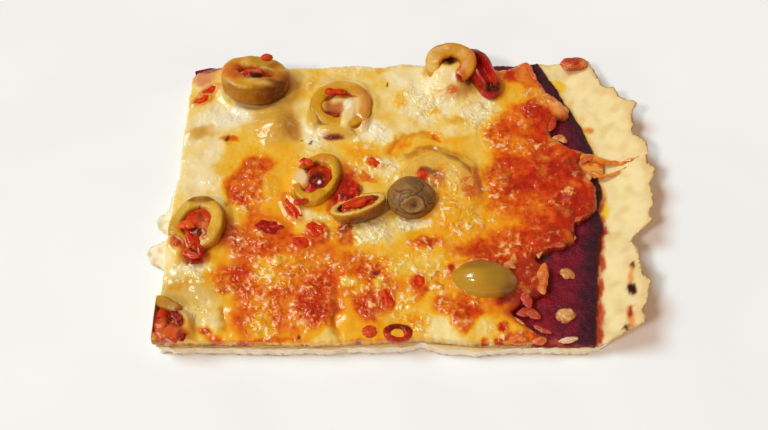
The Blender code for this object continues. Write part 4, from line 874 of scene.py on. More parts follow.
class Look:
    """A material, with short ways to make its nodes. Textures follow the mesh's own coordinates."""

    def __init__(self, name, roughness, specular, coat=0.0, coat_roughness=0.1,
                 depth=0.0, radius=(1.0, 0.5, 0.2), highlight=(1.0, 1.0, 1.0)):
        self.made = bpy.data.materials.new(name)
        self.made.use_nodes = True
        self.tree = self.made.node_tree
        self.sockets = self.tree.nodes["Principled BSDF"].inputs
        self.give(self.sockets, {
            "Roughness": roughness, "Specular IOR Level": specular, "Specular Tint": (*highlight, 1.0),
            "Coat Weight": coat, "Coat Roughness": coat_roughness, "Subsurface Weight": depth,
            "Subsurface Radius": radius, "Subsurface Scale": GLOW_DEPTH * MM})
        self.coordinates = self.tree.nodes.new("ShaderNodeTexCoord").outputs["Object"]

    def give(self, sockets, given):
        """Sets each socket to its value, or links it where that is another node's output."""
        for socket, value in given.items():
            if isinstance(value, bpy.types.NodeSocket):
                self.tree.links.new(value, sockets[socket])
            else:
                sockets[socket].default_value = value

    def node(self, kind, given):
        made = self.tree.nodes.new("ShaderNode" + kind)
        self.give(made.inputs, given)
        return made

    def feed(self, output, *names):
        self.give(self.sockets, {name: output for name in names})

    def paint(self, *coats):
        """The base colour: each vertex's tint with coats over it, as share and colour."""
        colour = self.attribute("tint").outputs["Color"]
        for share, over in coats:
            colour = self.mix(share, colour, over)
        self.feed(colour, "Base Color")

    def attribute(self, name):
        made = self.node("Attribute", {})
        made.attribute_name = name
        return made

    def values(self, name):
        return self.attribute(name).outputs["Fac"]

    def noise(self, size_mm, detail=3.0, roughness=0.6, distortion=0.0):
        return self.node("TexNoise", {
            "Scale": 1 / (size_mm * MM), "Detail": detail, "Roughness": roughness,
            "Distortion": distortion, "Vector": self.coordinates}).outputs["Fac"]

    def ramp(self, value, low, high, low_to=0.0, high_to=1.0):
        made = self.node("MapRange", {
            "Value": value, "From Min": low, "From Max": high, "To Min": low_to, "To Max": high_to})
        made.interpolation_type = "SMOOTHSTEP"
        return made.outputs["Result"]

    def math(self, operation, first, second):
        made = self.node("Math", {0: first, 1: second})
        made.operation = operation
        return made.outputs["Value"]

    def times(self, first, second):
        return self.math("MULTIPLY", first, second)

    def mix(self, share, first, second):
        """Sockets 6, 7 and output 2 are the ones for colours."""
        pair = [(*linear(one), 1.0) if isinstance(one, tuple) else one for one in (first, second)]
        made = self.node("Mix", {"Factor": share, 6: pair[0], 7: pair[1]})
        made.data_type = "RGBA"
        return made.outputs[2]

    def bump(self, height, depth_mm, strength, under=None):
        given = {"Distance": depth_mm * MM, "Strength": strength, "Height": height}
        return self.node("Bump", {**given, "Normal": under} if under else given).outputs["Normal"]


def cheese_look():
    look = Look("melted_cheese", 0.26, 0.32, 0.5, 0.05, 0.1, (1.0, 0.6, 0.25), (1.0, 0.84, 0.66))
    fleck_and_glint, browned = look.values("fleck_and_glint"), look.values("browned")
    lumps = look.noise(1.6, 2.0, 0.5, 0.25)
    patch = look.noise(3.6, 2.5, 0.6)
    fine = look.noise(0.45, 2.0, 0.6)
    uneven = look.ramp(look.math("ADD", fleck_and_glint, look.times(browned, 0.5)), 0.0, 1.2, 0.1, 1.0)
    uneven = look.times(uneven, look.ramp(patch, 0.42, 0.60, 0.12, 1.0))
    # Valleys between the lumps are painted darker red as shade; lump tops are painted paler, partly pale
    # cheese and partly painted highlight.
    valley_shade = look.times(look.ramp(lumps, 0.50, 0.36, 0.0, 0.7), browned)
    top = look.times(look.ramp(lumps, 0.52, 0.66), look.ramp(patch, 0.42, 0.58, 0.2, 1.0))
    pale_bits_and_highlight = look.times(top, look.ramp(fleck_and_glint, 0.0, 0.7, 0.0, 0.7))
    look.paint((valley_shade, (166, 34, 2)), (look.ramp(patch, 0.5, 0.75, 0.0, 0.2), (242, 180, 50)),
               (pale_bits_and_highlight, look.mix(browned, (252, 238, 200), (255, 196, 104))))
    look.feed(look.ramp(browned, 0.0, 1.0, 0.5, 0.25), "Coat Weight")
    look.feed(look.ramp(fine, 0.3, 0.7, 0.16, 0.34), "Roughness")
    normal = look.bump(look.times(lumps, uneven), 0.7, 0.9)
    normal = look.bump(look.times(fine, uneven), 0.12, 0.5, normal)
    look.feed(normal, "Coat Normal", "Normal")
    return look.made


def sauce_look():
    look = Look("baked_sauce", 0.4, 0.1, 0.3, 0.08)
    grain = look.noise(0.5, 3.0, 0.7)
    broad = look.noise(3.0, 3.0, 0.6)
    # The pinkish coat on the grain is painted sheen
    look.paint((look.ramp(broad, 0.4, 0.65, 0.0, 0.5), (60, 2, 18)),
               (look.ramp(grain, 0.6, 0.76, 0.0, 0.3), (150, 30, 60)))
    look.feed(look.ramp(grain, 0.3, 0.7, 0.28, 0.5), "Roughness")
    look.feed(look.bump(grain, 0.5, 0.8), "Normal", "Coat Normal")
    return look.made


def dough_look():
    look = Look("baked_dough", 0.78, 0.15, 0.0, 0.1, 0.1, (1.0, 0.8, 0.5))
    flour = look.noise(0.8, 4.0, 0.7)
    broad = look.noise(5.0, 3.0, 0.6)
    fine = look.noise(0.28, 2.0, 0.6)
    clean = look.ramp(look.values("stained"), 0.0, 0.6, 1.0, 0.0)
    look.paint((look.times(look.ramp(broad, 0.42, 0.68, 0.0, 0.45), clean), (228, 194, 128)),
               (look.times(look.ramp(flour, 0.55, 0.75, 0.0, 0.35), clean), (244, 226, 178)))
    look.feed(look.bump(fine, 0.08, 0.5, look.bump(flour, 0.25, 0.6)), "Normal")
    return look.made


def olive_look(name, gloss, unevenness, mottled):
    look = Look(name, 0.36, 0.22, gloss, 0.06, 0.1, (0.8, 0.6, 0.2), (1.0, 0.8, 0.5))
    mottle = look.noise(1.6, 4.0, 0.65)
    fine = look.noise(0.35, 2.0, 0.6)
    look.paint((look.ramp(mottle, 0.45, 0.7, 0.0, mottled), (208, 150, 26)),
               (look.ramp(fine, 0.4, 0.3, 0.0, 0.8 * mottled), (124, 74, 14)))
    look.feed(look.ramp(fine, 0.3, 0.7, 0.28, 0.5), "Roughness")
    normal = look.bump(fine, 0.1 * unevenness, 0.6, look.bump(mottle, 0.3 * unevenness, 0.7))
    look.feed(normal, "Normal", "Coat Normal")
    return look.made


def pimento_look():
    look = Look("cooked_pimento", 0.34, 0.2, 0.25, 0.06, 0.1, (1.0, 0.3, 0.1), (1.0, 0.6, 0.45))
    mottle = look.noise(1.4, 3.0, 0.6, 0.6)
    fine = look.noise(0.5, 2.0, 0.6)
    look.paint((look.ramp(mottle, 0.5, 0.72, 0.0, 0.6), (226, 92, 14)),
               (look.ramp(fine, 0.42, 0.3, 0.0, 0.5), (112, 10, 4)))
    look.feed(look.bump(mottle, 0.25, 0.6), "Normal")
    return look.made


def caper_look():
    look = Look("caper_skin", 0.45, 0.25, 0.1, 0.2, 0.05)
    mottle = look.noise(0.9, 4.0, 0.7)
    streak = look.noise(0.4, 2.0, 0.6, 1.5)
    look.paint((look.ramp(mottle, 0.48, 0.72, 0.0, 0.45), (170, 132, 80)),
               (look.ramp(streak, 0.42, 0.3, 0.0, 0.6), (66, 42, 20)))
    look.feed(look.bump(streak, 0.22, 0.8), "Normal")
    return look.made


def crust_look():
    look = Look("browned_cheese", 0.35, 0.2, 0.25, 0.1, 0.1, (1.0, 0.6, 0.25))
    grain = look.noise(0.6, 3.0, 0.65)
    fine = look.noise(0.28, 2.0, 0.6)
    look.paint((look.ramp(grain, 0.5, 0.36, 0.0, 0.5), (166, 60, 22)),
               (look.ramp(fine, 0.6, 0.72, 0.0, 0.5), (250, 220, 170)))
    look.feed(look.bump(grain, 0.25, 0.6), "Normal")
    return look.made


def floor_look():
    look = Look("white_table", 0.55, 0.3)
    mottle = look.ramp(look.noise(60.0, 2.0), 0.35, 0.65)
    look.feed(look.mix(mottle, (247, 247, 246), (243, 243, 243)), "Base Color")
    return look.made


# Dough

def across(line, y):
    """The x at each y of a line of points that climb in y."""
    return np.interp(y, [p[1] for p in line], [p[0] for p in line])


def bareness(x, y):
    """0 at the edge of the sauce, 1 at the dough's outer rim."""
    edge = across(SAUCE_EDGE, y) + HINGE
    return np.clip((x - edge) / np.maximum(across(RIM_BY_Y, y) - edge, 1.0), 0.0, 1.15)


def dough_curl(x, y):
    return np.interp(y, *CURL_BY_Y) * bareness(x, y) ** CURL_POWER


def dough_top(x, y, far):
    bare = np.minimum(bareness(x, y) * 4, 1.0)
    tab = np.where(x < TAB_EDGE, TAB_DROP * (1.2 + noises(x, y, 2.0, 7.0)), 0.0)
    crags = 0.75 * noises(x, y, 6.0, 3.0) + 0.45 * noises(x, y, 2.6, 31.0) + 0.12 * noises(x, y, 1.1, 32.0)
    thin = 0.5 * np.exp(-far / 0.7)
    return DOUGH_TOP + dough_curl(x, y) + bare * (crags - thin) - tab


def dough_bottom(x, y, far):
    bare = np.minimum(bareness(x, y), 1.0)
    thickness = DOUGH_TOP + (RIM_THICKNESS - DOUGH_TOP) * bare
    torn = 0.6 + 0.9 * noises(x, y, 1.6, 33.0) + 0.7 * noises(x, y, 0.8, 33.5)
    lift = np.clip(torn, 0.0, 1.3) * np.exp(-far / 1.5) * (1 - 0.6 * bare)
    return np.maximum(DOUGH_TOP + dough_curl(x, y) - thickness + lift, 0.0)


def dough_side(x, y, z, share, out_x, out_y):
    """Flaky side of the dough: layers that stand out and draw back along it."""
    along = x + y
    flake = noises(along, z * 3.0, 1.6, 34.0) + 0.6 * noises(along, z * 5.0, 0.7, 35.0)
    push = np.minimum(0.35 * flake - 0.25 * math.sin(math.pi * share), 0.0)
    return x + push * out_x, y + push * out_y, z


def make_dough(look):
    outline = []
    for line, step, amount in ((DOUGH_FRONT, 3.0, 0.5), (DOUGH_RIM, 2.5, 0.9), (DOUGH_BACK, 6.0, 0.3),
                               (DOUGH_LEFT, 5.0, 0.3)):
        outline += ragged(line, step, amount, 1.5)
    outline = frayed(eased(outline, 2), 0.6, 0.4, 36.0)
    verts, faces = slab(outline, DOUGH_PITCH, dough_top, dough_bottom, 9, dough_side)
    x, y, z = verts.T
    rim = across(RIM_BY_Y, y) - x
    ragged_rim = rim + 1.2 * noises(x, y, 2.0, 45.0)
    front_cut_pale_and_lit = (z < FRONT_CUT_TOP) & (y < FRONT_CUT_Y)
    tint = painted(len(verts), (238, 214, 156),
                   ((236, 208, 156), 0.55 * (1 - smooth(0.0, 7.0, rim)) * (x > BARE_FROM)),
                   ((220, 184, 120), 0.7 * smooth(0.05, 0.5, noises(x, y, 4.0, 41.0))),
                   ((214, 172, 106), 0.6 * (1 - smooth(0.0, 2.6, ragged_rim)) * (x > BARE_FROM)),
                   ((248, 240, 214), 0.85 * smooth(-65.8, -67.4, x)),
                   # the cut front: its pale crumb, brightened further as painted light
                   ((255, 248, 228), 0.95 * front_cut_pale_and_lit),
                   ((226, 190, 134), 0.3 * smooth(0.15, 0.6, noises(x, z * 2, 2.0, 42.0)) * (z < 3.4)))
    canvas = Canvas(verts, 0.3, 40.5)
    stained = np.zeros(len(verts))
    for u, v, half_u, half_v, turn, colour, strength in DOUGH_STAINS:
        share = strength * canvas.oval(u, v, half_u, half_v, turn, 0.35) * (z > 2.5)
        tint = mix(tint, colour, share)
        stained = np.maximum(stained, share)
    outside = x - across(SAUCE_EDGE, y)
    fringe = (1 - smooth(0.4, 1.7, outside + 0.8 * noises(x, y, 1.5, 43.0))) * (outside > -1) * (z > 3.5)
    tint = mix(tint, (168, 50, 22), 0.95 * fringe * smooth(2.0, -6.0, y))
    tint = mix(tint, (232, 164, 60), 0.7 * fringe * smooth(-4.0, 2.0, y))
    # Darker foot along the bottom of the side: the crust of the underside, with painted contact shadow
    foot_crust_and_shadow = z < 0.25 + 0.45 * (1 + noises(x, y, 1.4, 44.0))
    tint = mix(tint, (150, 104, 66), 0.5 * foot_crust_and_shadow)
    piece = add_piece("dough_baked", verts, faces, tint, look, "dough", "dough")
    add_values(piece, "stained", stained)


# Sauce

def sauce_top(x, y, far):
    dip = 0.35 * np.exp(-far / 1.2) * (x > SAUCE_SHOWS_FROM)
    grain = 0.26 * noises(x, y, 2.2, 50.0) + 0.14 * noises(x, y, 1.1, 51.0)
    return SAUCE_TOP - dip - 0.12 * np.abs(noises(x, y, 4.0, 5.0)) + grain * (x > SAUCE_GRAIN_FROM)


def make_sauce(look):
    outline = ragged(SAUCE_EDGE, 3.0, 0.5, 2.5) + ragged(SAUCE_REST, 8.0, 0.0, 2.5)
    outline = frayed(outline, 0.6, 0.35, 52.0)
    verts, faces = slab(outline, SAUCE_PITCH, sauce_top, SAUCE_BOTTOM, 3)
    verts, faces = flat_under(verts, faces, SAUCE_BOTTOM)
    canvas = Canvas(verts, 0.8, 53.0)
    x, y, z = verts.T
    edge = across(SAUCE_EDGE, y) - x
    wander = 2.4 * noises(x, y, 5.0, 55.0)
    front = (y < -43.9) & (x < SAUCE_SHOWS_FROM) & (z < SAUCE_TOP + 0.2)
    front_line = ((535, 338), (560, 345), (590, 349))
    tint = painted(len(verts), (122, 2, 32),
                   ((44, 0, 26), 0.95 * (1 - smooth(1.0, 7.0, edge + wander))),
                   ((156, 10, 30), 0.85 * smooth(8.0, 15.0, edge + wander) * (y < -15)),
                   # pinkish speckle: painted sheen on the wet grain
                   ((160, 40, 70), 0.4 * smooth(0.25, 0.5, noises(x, y, 0.9, 56.0))),
                   ((150, 40, 30), 0.7 * canvas.oval(548, 258, 10, 8)),
                   ((60, 12, 20), 0.8 * canvas.oval(543, 258, 8, 5, -20)),
                   ((140, 36, 34), 0.6 * (1 - smooth(0.0, 0.8, edge)) * (y < -12)),
                   ((200, 96, 60), 0.7 * canvas.line(front_line, 4)),
                   ((232, 196, 132), 0.95 * front),
                   ((214, 140, 70), 0.4 * front * smooth(0.0, 0.35, noises(x, z, 4.0, 54.0))))
    add_piece("sauce_baked", verts, faces, tint, look, "sauce", "sauce")


# Cheese

def melted_edge(x, y, far):
    """How much of its height the cheese loses where it melted and rounded off, as a share."""
    share = np.clip(far / EDGE_ROUND, 0, 1)
    where = np.maximum(smooth(*MELTED_FROM_X, x), 0.5 * smooth(*MELTED_FROM_Y, y))
    return (1 - np.sqrt(1 - (1 - share) ** 2)) * where


def curls(x, y):
    """1 along curled ridges about 1 mm apart, 0 between them, broken up unevenly."""
    ridge = 1 - smooth(0.02, 0.22, np.abs(noises(x, y, 1.7, 14.0)))
    return ridge * smooth(-0.25, 0.25, noises(x, y, 2.4, 19.0))


def strip_rims(x, y):
    """1 round the edges of the pimento strips, where the cheese laps against them."""
    rims = np.zeros(x.shape)
    for mid_x, mid_y, length, width, turn in PIMENTO_STRIPS:
        along, aside = turned(x - mid_x, y - mid_y, turn)
        off_edge = np.hypot(along / (STRIP_SCALE * length), aside / (STRIP_SCALE * width)) - 1.0
        rims = np.maximum(rims, np.exp(-(off_edge / 0.25) ** 2))
    return rims


def swells(x, y):
    """The cheese's height without its grain, as the toppings in it are placed."""
    z = CHEESE_TOP + SWELL * noises(x, y, SWELL_SIZE, 11.0) + RIPPLE * noises(x, y, RIPPLE_SIZE, 12.0)
    for lump_x, lump_y, half_x, half_y, rise in CHEESE_LUMPS.values():
        z += rise * np.exp(-1.2 * (((x - lump_x) / half_x) ** 2 + ((y - lump_y) / half_y) ** 2))
    return z


def cheese_relief(x, y, far):
    z = swells(x, y)
    canvas = Canvas(np.stack([x, y, z], 1), 0.8, 60.0)
    browned = smooth(0.45, 0.75, browning(canvas))
    patchy = smooth(-0.35, 0.35, noises(x, y, 2.8, 13.5))
    right = smooth(*RED_MASS_FROM, x)
    pits = 0.42 - np.minimum(cells(x, y, 1.9, 13.0), 0.9)
    wide_pits = 0.42 - np.minimum(cells(x, y, 3.4, 13.7), 0.9)
    z += (0.06 + 0.40 * browned * (1 - 0.6 * right)) * patchy * pits
    z += 0.55 * browned * right * wide_pits
    z += 0.30 * fleck_and_glint_density(canvas) * (noises(x, y, 1.8, 14.0) + 0.5 * curls(x, y))
    z += 0.35 * browned * noises(x, y, 2.2, 15.5) * right + 0.12 * (1 - 0.5 * right) * noises(x, y, 1.2, 15.0)
    for line in CREASES:
        z -= 0.45 * canvas.line(line, 4.0)
    for middle, (half_x, half_y), height, hole, lean, filled in OLIVES.values():
        along, aside = turned(x - middle[0], y - middle[1], lean[2])
        radius = np.hypot(along / half_x, aside / half_y)
        z += 0.5 * np.exp(-((radius - 1.08) / 0.14) ** 2)
        if not filled:
            z -= 2.0 * (1 - smooth(hole * 0.9, hole * 1.3, radius))
    z += 0.45 * strip_rims(x, y)
    z -= EDGE_FALL * np.exp(-far / EDGE_FALL_WIDTH)
    z -= (z - CHEESE_BOTTOM - 0.3) * melted_edge(x, y, far)
    films = Canvas(np.stack([x, y, z], 1), 0.14, 60.0)
    lumps = 0.2 * noises(x, y, 3.2, 18.0)
    for u, v, half_u, half_v, turn, level in COVERS:
        films.at_height(level)
        share = films.oval(u, v, half_u, half_v, turn, 0.5)
        z = np.maximum(z, z + (level + lumps - z) * share)
    return np.maximum(z, CHEESE_BOTTOM + 0.25)


def browning(canvas):
    """How far the cheese is browned at each vertex, from 0 to 1."""
    tone = np.full(canvas.u.shape, 0.30)
    for u, v, half_u, half_v, turn, value, strength in BROWNING:
        share = strength * canvas.oval(u, v, half_u, half_v, turn, 0.45)
        tone = tone + (value - tone) * share
    return tone


def fleck_and_glint_density(canvas):
    density = np.zeros(canvas.u.shape)
    for u, v, half_u, half_v, amount in FLECKS_AND_GLINTS:
        density = np.maximum(density, amount * canvas.oval(u, v, half_u, half_v, 0.0, 0.5))
    return density


def cheese_side(x, y, z, share, out_x, out_y):
    push = np.minimum(0.3 * noises(x + y, z * 2, 2.0, 16.0) - 0.2 * (1 - share), 0.0)
    return x + push * out_x, y + push * out_y, z


def make_cheese(look):
    outline = (ragged(CHEESE_FRONT, 4.0, 0.3, 4.5) + ragged(CHEESE_EDGE, 2.5, 0.5, 4.5)
               + ragged(CHEESE_BACK, 4.0, 0.4, 4.5) + ragged(CHEESE_LEFT, 5.0, 0.2, 4.5))
    outline = frayed(eased(outline, 3), 0.6, 0.35, 17.0)
    verts, faces = slab(outline, CHEESE_PITCH, cheese_relief, CHEESE_BOTTOM, 5, cheese_side)
    verts, faces = flat_under(verts, faces, CHEESE_BOTTOM)
    canvas = Canvas(verts, 0.8, 60.0)
    flecks_and_glints = fleck_and_glint_density(canvas)
    tone = cheese_tone(canvas, flecks_and_glints)
    tint = cheese_tint(verts, canvas, tone)
    piece = add_piece("cheese_melted", verts, faces, tint, look, "cheese", "cheese")
    add_values(piece, "fleck_and_glint", flecks_and_glints)
    add_values(piece, "browned", np.clip(smooth(0.45, 0.85, tone), 0, 1))


def cheese_tone(canvas, flecks_and_glints):
    """How far each vertex is browned, with the fine unevenness and the pale flecks, which are paler partly as
    painted highlight.
    """
    x, y = canvas.x, canvas.y
    tone = browning(canvas)
    rough = smooth(0.35, 0.7, tone)
    for plain, more, size, seed in ((0.03, 0.05, 1.0, 61.0), (0.05, 0.06, 2.4, 62.0), (0.10, 0.06, 4.5, 62.5)):
        tone = tone + (plain + more * rough) * noises(x, y, size, seed)
    return np.clip(tone - 0.16 * flecks_and_glints * smooth(0.1, 0.45, noises(x, y, 0.8, 63.0)), 0, 1)


def cheese_tint(verts, canvas, tone):
    x, y = canvas.x, canvas.y
    stops = [stop for stop, rgb in TONES]
    tint = np.stack([np.interp(tone, stops, [rgb[i] for stop, rgb in TONES]) for i in range(3)], 1)
    for u, v, half_u, half_v, turn, strength in OLIVE_GLIMPSES:
        tint = mix(tint, (206, 142, 34), 0.8 * strength * canvas.oval(u, v, half_u, half_v, turn, 0.5))
    patchy = 0.55 + 0.45 * smooth(-0.2, 0.4, noises(x, y, 1.4, 64.0))
    for u, v, half_u, half_v, turn, strength in CRIMSON:
        tint = mix(tint, (180, 26, 14), strength * patchy * canvas.oval(u, v, half_u, half_v, turn, 0.5))
    edge = away_from(CHEESE_EDGE, x, y) + 0.9 * noises(x, y, 2.2, 65.0)
    tint = mix(tint, (172, 40, 14), 0.75 * (1 - smooth(0.4, 2.6, edge)) * smooth(-48.0, -40.0, y))
    tint = mix(tint, (96, 14, 18), 0.7 * (1 - smooth(0.0, 0.9, edge)))
    tint = mix(tint, (210, 84, 20), 0.45 * strip_rims(x, y))
    tint = paint_spots(tint, Canvas(verts, 0.3, 60.5), TOUCHES, 0.45)
    # Painted shade along the creases
    for line in CREASES:
        tint = mix(tint, (190, 96, 16), 0.4 * canvas.line(line, 2.4))
    for u, v, radius in SPECKS:
        tint = mix(tint, (70, 26, 14), 0.9 * canvas.oval(u, v, radius, radius, 0, 0.5))
    return tint


# Toppings

def rotated(points, lean):
    turn = np.array(Euler([math.radians(a) for a in lean]).to_matrix())
    return points @ turn.T


def sphere(subdivisions):
    body = bmesh.new()
    bmesh.ops.create_icosphere(body, subdivisions=subdivisions, radius=1.0)
    body.verts.index_update()
    verts = np.array([vert.co[:] for vert in body.verts])
    faces = [tuple(vert.index for vert in face.verts) for face in body.faces]
    body.free()
    return verts, faces


def blob(middle, half_sizes, lean, seed, uneven, crumple=0.0, crumple_size=1.0):
    """Points of an uneven lump, and of the unit sphere that it was made from, and its faces."""
    unit, faces = sphere(LUMP_DETAIL)
    swell = 1 + uneven * noises_3d(unit, 0.625, seed)
    if crumple:
        swell -= crumple * np.abs(noises_3d(unit, crumple_size, seed)) * 1.6
    points = unit * swell[:, None] * np.array(half_sizes)
    return rotated(points, lean) + middle, unit, faces


def ring(spec, seed, wall_noise=0.22, hole_shape=None):
    """Points and faces of an olive slice, and how far round its section each point is.

    The section runs from the outer side, over the top and down the hole's side, to the underside.
    """
    middle, (half_x, half_y), height, hole, lean = spec[:5]
    radius = (half_x + half_y) / 2
    phase = sum(middle)
    angle = np.linspace(0, 2 * math.pi, RING_STEPS, endpoint=False)
    section = np.linspace(0, 2 * math.pi, RING_PROFILE, endpoint=False)
    a, s = (grid.ravel() for grid in np.meshgrid(angle, section, indexing="ij"))
    cos_a, sin_a, cos_s, sin_s = np.cos(a), np.sin(a), np.cos(s), np.sin(s)
    along, aside, turn = hole_shape or (hole, hole, 0.0)
    from_hole = a - math.radians(turn)
    inner = radius / np.hypot(np.cos(from_hole) / along, np.sin(from_hole) / aside)
    inner = inner * (1 + 0.07 * np.cos(3 * a + 2 * seed) + 0.12 * noises(3 * cos_a, 3 * sin_a, 1.5, seed))
    half_wall = (radius - inner) / 2
    boxy = np.sign(cos_s) * np.abs(cos_s) ** RING_SQUARENESS
    rise = np.sign(sin_s) * np.abs(sin_s) ** RING_SQUARENESS
    r = inner + half_wall + half_wall * boxy
    uneven = 1 + 0.03 * np.cos(2 * a + phase) + 0.025 * np.cos(3 * a + 2 * phase)
    points = np.stack([r * cos_a * uneven * half_x / radius, r * sin_a * uneven * half_y / radius,
                       height / 2 * rise], 1)
    push = wall_noise * 1.5 * noises_3d(points, 3.0, seed) + 0.09 * noises_3d(points, 1.1, seed + 5)
    points += push[:, None] * np.stack([cos_s * cos_a, cos_s * sin_a, sin_s], 1)
    faces = [(i * RING_PROFILE + k, j * RING_PROFILE + k, j * RING_PROFILE + m, i * RING_PROFILE + m)
             for i, j in closed_pairs(RING_STEPS) for k, m in closed_pairs(RING_PROFILE)]
    return rotated(points, lean) + middle, faces, a, s


def closed_pairs(count):
    """Each number below count with the one after it, the last with 0."""
    return [(i, (i + 1) % count) for i in range(count)]


def make_olive_slices(look):
    for number, (name, spec) in enumerate(OLIVES.items()):
        points, faces, a, s = ring(spec, 3.0 + number, hole_shape=HOLES[name])
        if name == "olive_corner":
            points[:, 0] = np.maximum(points[:, 0], LEFT_CUT)
        top = np.clip(np.sin(s), 0, 1)
        outer = np.clip(np.cos(s), 0, 1)
        hole_side = np.clip(-np.cos(s), 0, 1)
        streaks = smooth(0.0, 0.6, noises(6 * np.cos(a), 6 * np.sin(a) + s, 1.6, 71.0 + number))
        shoulder = smooth(0.25, 0.6, top) * (1 - smooth(0.6, 0.85, top))
        tint = painted(len(points), OLIVE_SKIN, (OLIVE_FLESH, smooth(0.35, 0.8, top)),
                       (OLIVE_INNER, smooth(0.3, 0.95, hole_side)), (OLIVE_PALE, 0.5 * streaks * top),
                       ((124, 76, 10), 0.5 * shoulder * outer))
        tint = paint_spots(tint, Canvas(points, 0.25, 70.0 + number), OLIVE_COLOURS[name])
        add_piece(name + "_slice", points, faces, tint, look, "olive", name)


def make_stuffing(look):
    """The crumpled pimento in the olive slices."""
    for number, (name, spec) in enumerate(OLIVES.items()):
        middle, (half_x, half_y), height, hole, lean, filled = spec
        if filled:
            continue
        node = name.replace("olive", "pimento")
        share = hole * PIMENTO_IN_HOLE * PIMENTO_SPREAD
        sizes = (share * half_x, share * half_y, height * PIMENTO_HEIGHT)
        points, unit, faces = blob(middle, sizes, lean, number + 40.5, 0.3, 0.08, 0.6)
        if name == "olive_corner":
            points[:, 0] = np.maximum(points[:, 0], LEFT_CUT + 0.1)
        tint = pimento_tint(points, unit, number + 80.0, PIMENTO_RED, STUFFING_COLOURS[node])
        add_piece(node + "_stuffing", points, faces, tint, look, "pimento", node)


def pimento_tint(points, unit, seed, colours, spots=()):
    """Colours of a crumpled lump, from its base, deep and bright colour, or with spots for the bright one."""
    base, deep, bright = colours
    fold = 1 - smooth(0.0, 0.12, np.abs(noises_3d(unit, 0.55, seed)))
    if spots:
        tint = paint_spots(painted(len(unit), base), Canvas(points, 0.15, seed), spots)
        return mix(tint, deep, 0.5 * fold)
    shine = smooth(0.2, 0.5, noises_3d(unit, 0.8, seed + 3))
    return painted(len(unit), base, (deep, 0.5 * fold), (bright, 0.7 * shine))


def make_caper(look):
    middle, half_sizes, _ = CAPER
    unit, faces = sphere(FINE_DETAIL)
    swell = 1 + 0.05 * noises_3d(unit, 0.625, 60.5)
    end = np.array(Vector(CAPER_END).normalized())
    away = np.degrees(np.arccos(np.clip(unit @ end, -1, 1)))
    away = np.maximum(away + 9.0 * noises_3d(unit, 0.42, 66.0) + 3.5 * noises_3d(unit, 0.16, 67.0), 0)

    def band(at, width):
        """1 at this many degrees from the caper's end, falling off over the width."""
        return np.exp(-((away - at) / width) ** 2)

    swell -= CAPER_DIMPLE * band(0, CAPER_END_WIDTH)
    rims = 0.05 * band(21, 5) - 0.05 * band(31, 4)
    swell += rims * (1 + 0.5 * noises_3d(unit, 0.6, 5.0)) + 0.04 * band(0, 6)
    fold = np.abs(noises_3d(unit * (0.5, 1.0, 1.5), 0.55, 9.0))
    wrinkle = (1 - smooth(0.0, 0.07, fold)) * smooth(24, 44, away)
    swell -= 0.055 * wrinkle
    swell += 0.02 * noises_3d(unit, 0.22, 11.0)
    points = unit * swell[:, None] * np.array(half_sizes) + middle
    tint = painted(len(unit), (150, 98, 42),
                   blotches(unit, (162, 122, 70), 0.6, 0.1, 0.5, 0.5, 12.0),
                   ((106, 74, 38), 0.7 * smooth(0.0, 0.5, noises_3d(unit, 0.7, 13.0)) * (unit[:, 2] > 0.2)),
                   # darker in the wrinkles: painted shade
                   ((60, 38, 18), 0.7 * wrinkle), ((166, 128, 78), 0.6 * band(20, 6)),
                   # the groove 30 degrees from the end is darker as painted shade
                   ((66, 44, 24), 0.8 * band(0, 6)), ((70, 50, 30), 0.7 * band(30, 3)),
                   # darker towards the underside: painted shade
                   ((96, 62, 36), 0.7 * (1 - smooth(-0.5, -0.1, unit[:, 2]))))
    add_piece("caper_bud", points, faces, tint, look, "caper", "caper")


def make_whole_olive(look):
    middle, half_sizes, lean = WHOLE_OLIVE
    unit, faces = sphere(FINE_DETAIL)
    swell = 1 + 0.03 * noises_3d(unit, 0.9, 14.0) + 0.008 * noises_3d(unit, 0.25, 15.0)
    dent = unit - np.array((0.75, 0.0, 0.55))
    swell -= 0.05 * np.exp(-(dent ** 2).sum(1) / 0.04)
    points = unit * swell[:, None] * np.array(half_sizes)
    points[:, 2] = np.maximum(points[:, 2], -0.12 * half_sizes[2])
    points = rotated(points, lean) + middle
    oval = Canvas(points, 0.4, 90.0).oval
    tint = painted(len(unit), (180, 128, 18),
                   ((190, 148, 40), 0.7 * oval(470, 292, 14, 8, 10, 0.6)),
                   # the darker browns towards the right and lower right are painted shade
                   ((150, 116, 30), 0.6 * oval(498, 276, 14, 12, 0, 0.5)),
                   ((122, 74, 20), 0.8 * oval(512, 292, 12, 10, -30, 0.6)),
                   ((130, 92, 16), 0.7 * oval(478, 262, 22, 5, 0, 0.6)))
    add_piece("olive_whole_skin", points, faces, tint, look, "olive", "olive_whole")


def bowl_rows(sizes, top):
    """Rings of points of an ellipsoid, from its lowest point up to this height."""
    angle = np.linspace(0, 2 * math.pi, HALF_AROUND, endpoint=False)
    rows = []
    for polar in np.linspace(math.pi - 0.02, math.acos(top / sizes[2]), HALF_ROWS):
        rows.append(np.stack([np.cos(angle) * math.sin(polar) * sizes[0],
                              np.sin(angle) * math.sin(polar) * sizes[1],
                              np.full(HALF_AROUND, math.cos(polar) * sizes[2])], 1))
    return rows


def row_faces(rows, around):
    """Faces between rows of so many points each, and those that close the first and the last row."""
    sides = [(row * around + i, row * around + j, (row + 1) * around + j, (row + 1) * around + i)
             for row in range(rows - 1) for i, j in closed_pairs(around)]
    return sides + [tuple(range(around))[::-1], tuple((rows - 1) * around + i for i in range(around))]


